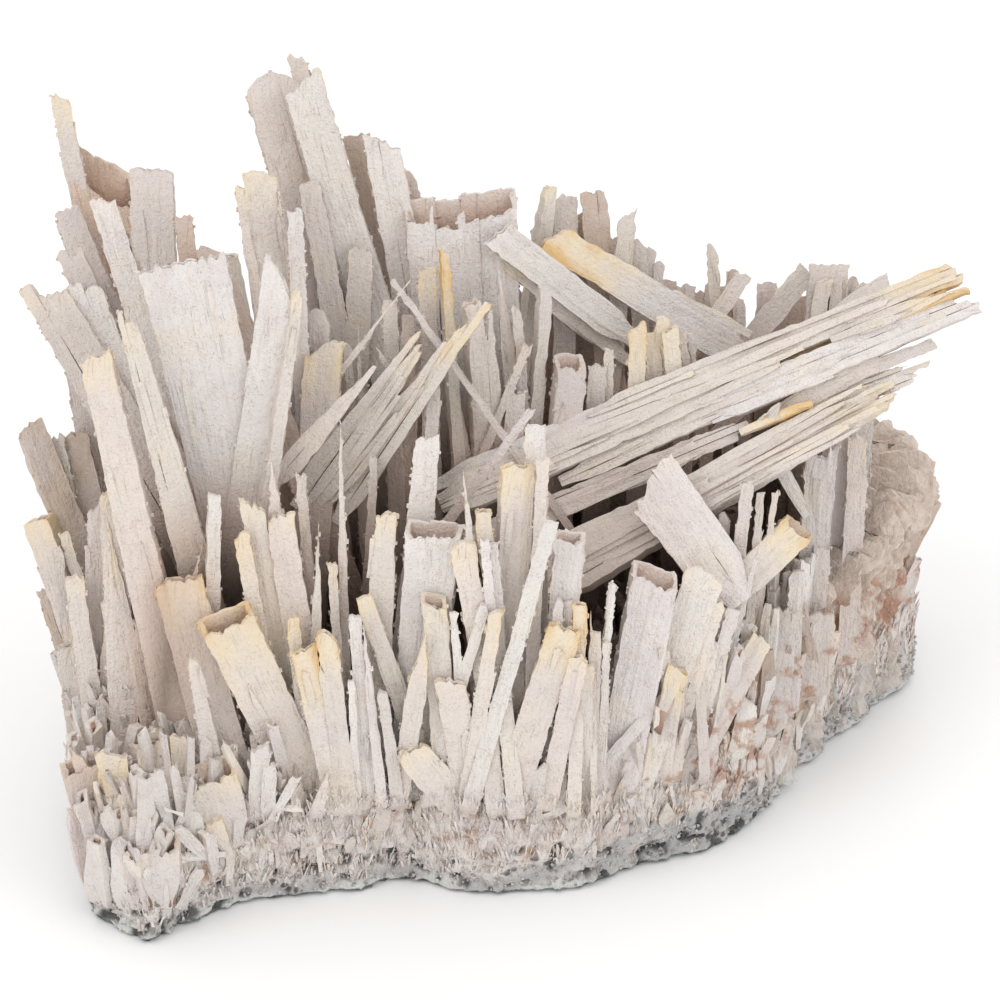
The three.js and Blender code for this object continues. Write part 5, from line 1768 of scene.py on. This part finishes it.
def bladeTemplate(name, seed):
    # six sides and an uneven end
    rng = np.random.default_rng(seed)
    around = [(-0.5, 0.5), (0.05, 0.56), (0.5, 0.5), (0.5, -0.5), (0.0, -0.56), (-0.5, -0.5)]
    ends = 1 - rng.uniform(0, 0.16, 6)
    ends[[0, 5]] -= rng.uniform(0, 0.1)
    points = []
    for height in (0.0, 0.35, 0.7, 0.9):
        size = 1 - 0.35 * height
        for x, y in around:
            points.append((x * size + rng.normal(0, 0.02), y * size + rng.normal(0, 0.03), height))
    top = len(points)
    points += [(x * 0.62, y * 0.62, end) for (x, y), end in zip(around, ends)]
    faces = []
    for low in range(0, top, 6):
        faces += [(low + (i + 1) % 6, low + i, low + 6 + i, low + 6 + (i + 1) % 6) for i in range(6)]
    faces += [(top + 5, top + 4, top + 1, top), (top + 4, top + 3, top + 2, top + 1)]
    faces += [(0, 1, 4, 5), (1, 2, 3, 4)]
    return template(name, points, faces, lambda x, y, z: (x * 0.2 + y * 0.3 + seed, z + seed * 3))


prismSides = [(k, (k + 1) % 3, 3 + (k + 1) % 3, 3 + k) for k in range(3)]


def needleTemplate(name, seed):
    # three sides and a blunt point
    rng = np.random.default_rng(seed)
    corners = [(-0.5, -0.35), (0.5, -0.4), (0.05, 0.5)]
    points = []
    for height, size in ((0.0, 1.0), (0.78, 0.8)):
        for x, y in corners:
            points.append((x * size + rng.normal(0, 0.05), y * size + rng.normal(0, 0.05), height))
    points.append((rng.normal(0, 0.12), rng.normal(0, 0.12), 1.0))
    faces = prismSides + [(3 + k, 3 + (k + 1) % 3, 6) for k in range(3)] + [(2, 1, 0)]
    return template(name, points, faces, lambda x, y, z: (x * 0.1 + seed, z * 0.3 + seed))


def crumbTemplate(name, seed):
    # a stubby prism with a slanting top
    rng = np.random.default_rng(seed)
    corners = [(-0.5, -0.4), (0.5, -0.35), (0.0, 0.5)]
    points = [(x, y, 0.0) for x, y in corners]
    points += [(x * 0.8, y * 0.8, rng.uniform(0.55, 1.0)) for x, y in corners]
    faces = prismSides + [(3, 4, 5), (2, 1, 0)]
    return template(name, points, faces, lambda x, y, z: (x * 0.1 + seed, z * 0.1 + seed))


# inputs of the scatter tree by kind; lengths in metres
scatterInputs = {
    "Object": ("First", "Second", "Third"),
    "Material": ("Material",),
    "Int": ("Seed",),
    "Color": ("Tone one", "Tone two", "Patch tone"),
    "Float": (
        "Density", "Lowest", "Highest", "Lift",         # where on the host, by height
        "Flattest", "Topmost", "Sideways",              # and by the way that it faces
        "Length low", "Length high", "Width low", "Width high", "Flatness", "Sink",
        "Fan", "Sway", "Upright",                       # which way each piece points
        "Host share", "Patch low", "Patch high", "Deep",
    ),
}


def scatterTree():
    tree = bpy.data.node_groups.new("scatterOnHost", "GeometryNodeTree")
    for way in ("INPUT", "OUTPUT"):
        tree.interface.new_socket("Geometry", in_out=way, socket_type="NodeSocketGeometry")
    for kind, names in scatterInputs.items():
        for name in names:
            tree.interface.new_socket(name, in_out="INPUT", socket_type="NodeSocket" + kind)
    node, mathNode, product, ramp, mixColour, noise = makers(tree)
    into = node("NodeGroupInput").outputs

    def randomFloat(low, high, offset):
        keys = {2: low, 3: high, 8: mathNode("ADD", into["Seed"], offset)}
        return node("FunctionNodeRandomValue", keys, data_type="FLOAT").outputs[1]

    def compare(kind, a, b):
        return node("FunctionNodeCompare", {0: a, 1: b}, operation=kind).outputs[0]

    def logic(kind, a, b):
        return node("FunctionNodeBooleanMath", {0: a, 1: b}, operation=kind).outputs[0]

    def vector(x, y, z):
        return node("ShaderNodeCombineXYZ", {"X": x, "Y": y, "Z": z}).outputs[0]

    # where: between two heights, on faces steep enough that look up or sideways
    position = node("GeometryNodeInputPosition").outputs[0]
    axes = node("ShaderNodeSeparateXYZ", {"Vector": position}).outputs
    lifted = ramp(axes["X"], -0.01, 0.025, 0.0, into["Lift"], "LINEAR")
    level = mathNode("SUBTRACT", axes["Z"], lifted)
    above = compare("GREATER_THAN", level, into["Lowest"])
    below = compare("LESS_THAN", axes["Z"], into["Highest"])
    facing = node("ShaderNodeSeparateXYZ", {"Vector": node("GeometryNodeInputNormal").outputs[0]}).outputs
    steep = compare("LESS_THAN", facing["Z"], into["Flattest"])
    onTop = compare("GREATER_THAN", facing["Z"], into["Topmost"])
    onSide = compare("GREATER_THAN", mathNode("ABSOLUTE", facing["X"]), into["Sideways"])
    turnedSo = logic("AND", steep, logic("OR", onTop, onSide))
    chosen = logic("AND", logic("AND", above, below), turnedSo)
    keys = {"Mesh": into["Geometry"], "Selection": chosen, "Density": into["Density"], "Seed": into["Seed"]}
    points = node("GeometryNodeDistributePointsOnFaces", keys, distribute_method="RANDOM").outputs

    # which way: between the host's normal and upright, with a random spin
    negative = product(into["Sway"], -1.0)
    leans = []
    for offset, axis in ((1, "X"), (2, "Y")):
        fan = product(axes[axis], into["Fan"])
        leans.append(mathNode("ADD", fan, randomFloat(negative, into["Sway"], offset)))
    keys = {0: into["Upright"], 4: points["Normal"], 5: vector(*leans, 1.0)}
    direction = node("ShaderNodeMix", keys, data_type="VECTOR").outputs[1]
    keys = {"Vector": points["Normal"]}
    spin = node("FunctionNodeAlignRotationToVector", keys, axis="Y", pivot_axis="Z").outputs[0]
    turned = node("FunctionNodeEulerToRotation", {0: vector(0.0, 0.0, randomFloat(-0.9, 0.9, 3))}).outputs[0]
    keys = {"Rotation": spin, "Rotate By": turned}
    loose = node("FunctionNodeRotateRotation", keys, rotation_space="LOCAL").outputs[0]
    keys = {"Rotation": loose, "Vector": direction}
    aligned = node("FunctionNodeAlignRotationToVector", keys, axis="Z").outputs[0]

    # how big: a random size of one of the three shapes, a little sunk into the host
    width = randomFloat(into["Width low"], into["Width high"], 4)
    length = randomFloat(into["Length low"], into["Length high"], 5)
    shapes = node("GeometryNodeJoinGeometry")
    for name in ("Third", "Second", "First"):
        info = node("GeometryNodeObjectInfo", {"Object": into[name], "As Instance": True})
        tree.links.new(info.outputs["Geometry"], shapes.inputs[0])
    keys = {4: 0, 5: 2, 8: mathNode("ADD", into["Seed"], 6)}
    pick = node("FunctionNodeRandomValue", keys, data_type="INT").outputs[2]
    placed = node("GeometryNodeInstanceOnPoints", {
        "Points": points["Points"], "Instance": shapes.outputs[0], "Pick Instance": True,
        "Instance Index": pick, "Rotation": aligned,
        "Scale": vector(width, product(width, into["Flatness"]), length),
    }).outputs[0]
    sunk = vector(0.0, 0.0, product(into["Sink"], -1.0))
    keys = {"Instances": placed, "Translation": sunk, "Local Space": True}
    stored = node("GeometryNodeTranslateInstances", keys).outputs[0]

    # tone and marks: random between two tones, patched by noise, or taken from the host; the marks carry a
    # little stain at random and painted shade on pieces well inside the edge and behind the front
    tint = mixColour(randomFloat(0.0, 1.0, 7), into["Tone one"], into["Tone two"])
    patch = noise(position, *matrixFinish["rustNoise"])
    share = ramp(patch, into["Patch low"], into["Patch high"], 0.0, 0.85, "LINEAR")
    patched = mixColour(share, tint, into["Patch tone"])
    # painted shade, darker on pieces well inside the edge and behind the front
    inward = ramp(mathNode("ABSOLUTE", axes["X"]), 0.05, 0.068, 1.0, 0.0, "LINEAR")
    behind = ramp(axes["Y"], -0.044, -0.022, 0.0, 1.0, "LINEAR")
    keys = {"Red": randomFloat(-0.3, 0.25, 8), "Green": 0.0, "Blue": product(inward, behind, into["Deep"])}
    mark = node("FunctionNodeCombineColor", keys).outputs[0]
    for label, value in (("tone", patched), ("marks", mark)):
        host = node("GeometryNodeInputNamedAttribute", {"Name": label}, data_type="FLOAT_COLOR")
        value = mixColour(into["Host share"], value, host.outputs["Attribute"])
        keys = {"Geometry": stored, "Name": label}
        keep = node("GeometryNodeStoreNamedAttribute", keys, data_type="FLOAT_COLOR", domain="INSTANCE")
        taken = next(entry for entry in keep.inputs if entry.name == "Value" and entry.enabled)
        tree.links.new(value, taken)
        stored = keep.outputs[0]
    real = node("GeometryNodeRealizeInstances", {"Geometry": stored}).outputs[0]
    clothed = node("GeometryNodeSetMaterial", {"Geometry": real, "Material": into["Material"]}).outputs[0]
    tree.links.new(clothed, node("NodeGroupOutput").inputs[0])
    return tree


def applyNodes(name, host, tree, values):
    carrier = linked(name + "Carrier", host.data.copy())
    modifier = carrier.modifiers.new("scatter", "NODES")
    modifier.node_group = tree
    sockets = {item.name: item.identifier for item in tree.interface.items_tree if item.in_out == "INPUT"}
    for key, value in values.items():
        modifier[sockets[key]] = value
    carrier.update_tag()
    bpy.context.view_layer.update()
    seen = carrier.evaluated_get(bpy.context.evaluated_depsgraph_get())
    mesh = bpy.data.meshes.new_from_object(seen)
    mesh.name = name
    carrier.modifiers.clear()
    bpy.data.objects.remove(carrier)
    return addPiece(name, mesh)


scatter = scatterTree()
bladeShapes = [bladeTemplate("smallBlade%d" % k, 31 + k) for k in range(3)]
needleShapes = [needleTemplate("needle%d" % k, 41 + k) for k in range(3)]
crumbShapes = [crumbTemplate("crumb%d" % k, 51 + k) for k in range(3)]

# what a scattered piece has unless it says otherwise: any face, its own tones, and hardly a patch
plainScatter = {
    "Lift": 0.0, "Flattest": 2.0, "Topmost": -1.1, "Sideways": 2.0, "Host share": 0.0,
    "Fan": 0.0, "Deep": 0.0, "Patch tone": matrixFinish["rustColour"], "Patch low": 0.8, "Patch high": 0.9,
}

# thicket: short blades on the ground between the tall ones
thicket = dict(plainScatter)
thicket.update({
    "Density": 62000.0, "Seed": 3, "Lowest": 0.0202, "Highest": 0.03,
    "Length low": 0.005, "Length high": 0.021, "Width low": 0.0014, "Width high": 0.0042, "Flatness": 0.5,
    "Fan": 1.6, "Sway": 0.25, "Upright": 1.0, "Sink": 0.001, "Deep": 0.7,
    "Tone one": (0.65, 0.585, 0.54, 1), "Tone two": (0.77, 0.72, 0.68, 1),
})

# felt: fine upright needles that clothe the flank
felt = dict(plainScatter)
felt.update({
    "Density": 790000.0, "Seed": 9, "Lowest": 0.0035, "Highest": 0.0245, "Lift": 0.0055, "Flattest": 0.86,
    "Length low": 0.0010, "Length high": 0.0036, "Width low": 0.00025, "Width high": 0.0008, "Flatness": 0.8,
    "Sway": 0.36, "Upright": 0.86, "Sink": 0.0003,
    "Tone one": (0.70, 0.63, 0.59, 1), "Tone two": (0.83, 0.79, 0.76, 1),
})

# sugar: stubby crystals on the grey band below
sugar = dict(plainScatter)
sugar.update({
    "Density": 620000.0, "Seed": 15, "Lowest": 0.0012, "Highest": 0.0095,
    "Length low": 0.0004, "Length high": 0.0011, "Width low": 0.0003, "Width high": 0.0009, "Flatness": 0.9,
    "Sway": 0.6, "Upright": 0.5, "Sink": 0.0003,
    "Tone one": (0.36, 0.36, 0.35, 1), "Tone two": (0.70, 0.69, 0.67, 1),
    "Patch tone": (0.10, 0.10, 0.10, 1), "Patch low": 0.50, "Patch high": 0.62,
})

# the same felt creeps up the feet of the front blades
feetFelt = dict(felt)
feetFelt.update({
    "Density": 600000.0, "Seed": 21, "Lowest": 0.0115, "Highest": 0.0235, "Length high": 0.0028,
})

# crumbs: blocky sugar crystals on the ends and narrow sides of the blades, in the tone of each blade
crumbs = dict(plainScatter)
crumbs.update({
    "Density": 128000.0, "Seed": 27, "Lowest": 0.022, "Highest": 0.2, "Topmost": 0.72, "Sideways": 0.8,
    "Length low": 0.0002, "Length high": 0.00055, "Width low": 0.0005, "Width high": 0.0013, "Flatness": 0.9,
    "Sway": 0.3, "Upright": 0.0, "Sink": 0.0001, "Host share": 1.0,
})
crumbHosts = ("leftFan", "whiteFan", "backFan", "centre", "rightFront", "frontRow", "leftFront")


def joinedHost(names):
    # one mesh of several pieces, for nodes to scatter on
    gathered = bmesh.new()
    for piece in pieces:
        if piece.name in names:
            gathered.from_mesh(piece.data)
    mesh = bpy.data.meshes.new("joinedHost")
    gathered.to_mesh(mesh)
    gathered.free()
    return bpy.data.objects.new("joinedHost", mesh)


def scatterPiece(name, host, shapes, values):
    values = dict(values, Material=quartz, **dict(zip(("First", "Second", "Third"), shapes)))
    pieces.append(applyNodes(name, host, scatter, values))


scatterPiece("thicket", matrixSlab, bladeShapes, thicket)
scatterPiece("needleFelt", matrixSlab, needleShapes, felt)
scatterPiece("sugarBand", matrixSlab, needleShapes, sugar)
frontRowPiece = next(piece for piece in pieces if piece.name == "frontRow")
scatterPiece("feetFelt", frontRowPiece, needleShapes, feetFelt)
crumbled = joinedHost(crumbHosts)
scatterPiece("edgeCrumbs", crumbled, crumbShapes, crumbs)
for helper in [crumbled] + bladeShapes + needleShapes + crumbShapes:
    bpy.data.objects.remove(helper)

for piece in pieces:
    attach(piece, "root")
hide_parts("crystal_cluster")

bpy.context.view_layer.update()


def triangleCount(piece):
    return sum(len(polygon.vertices) - 2 for polygon in piece.data.polygons)


counts = {piece.name: triangleCount(piece) for piece in pieces}
print("stage: triangles in all", sum(counts.values()), "most in one piece", max(counts.values()))
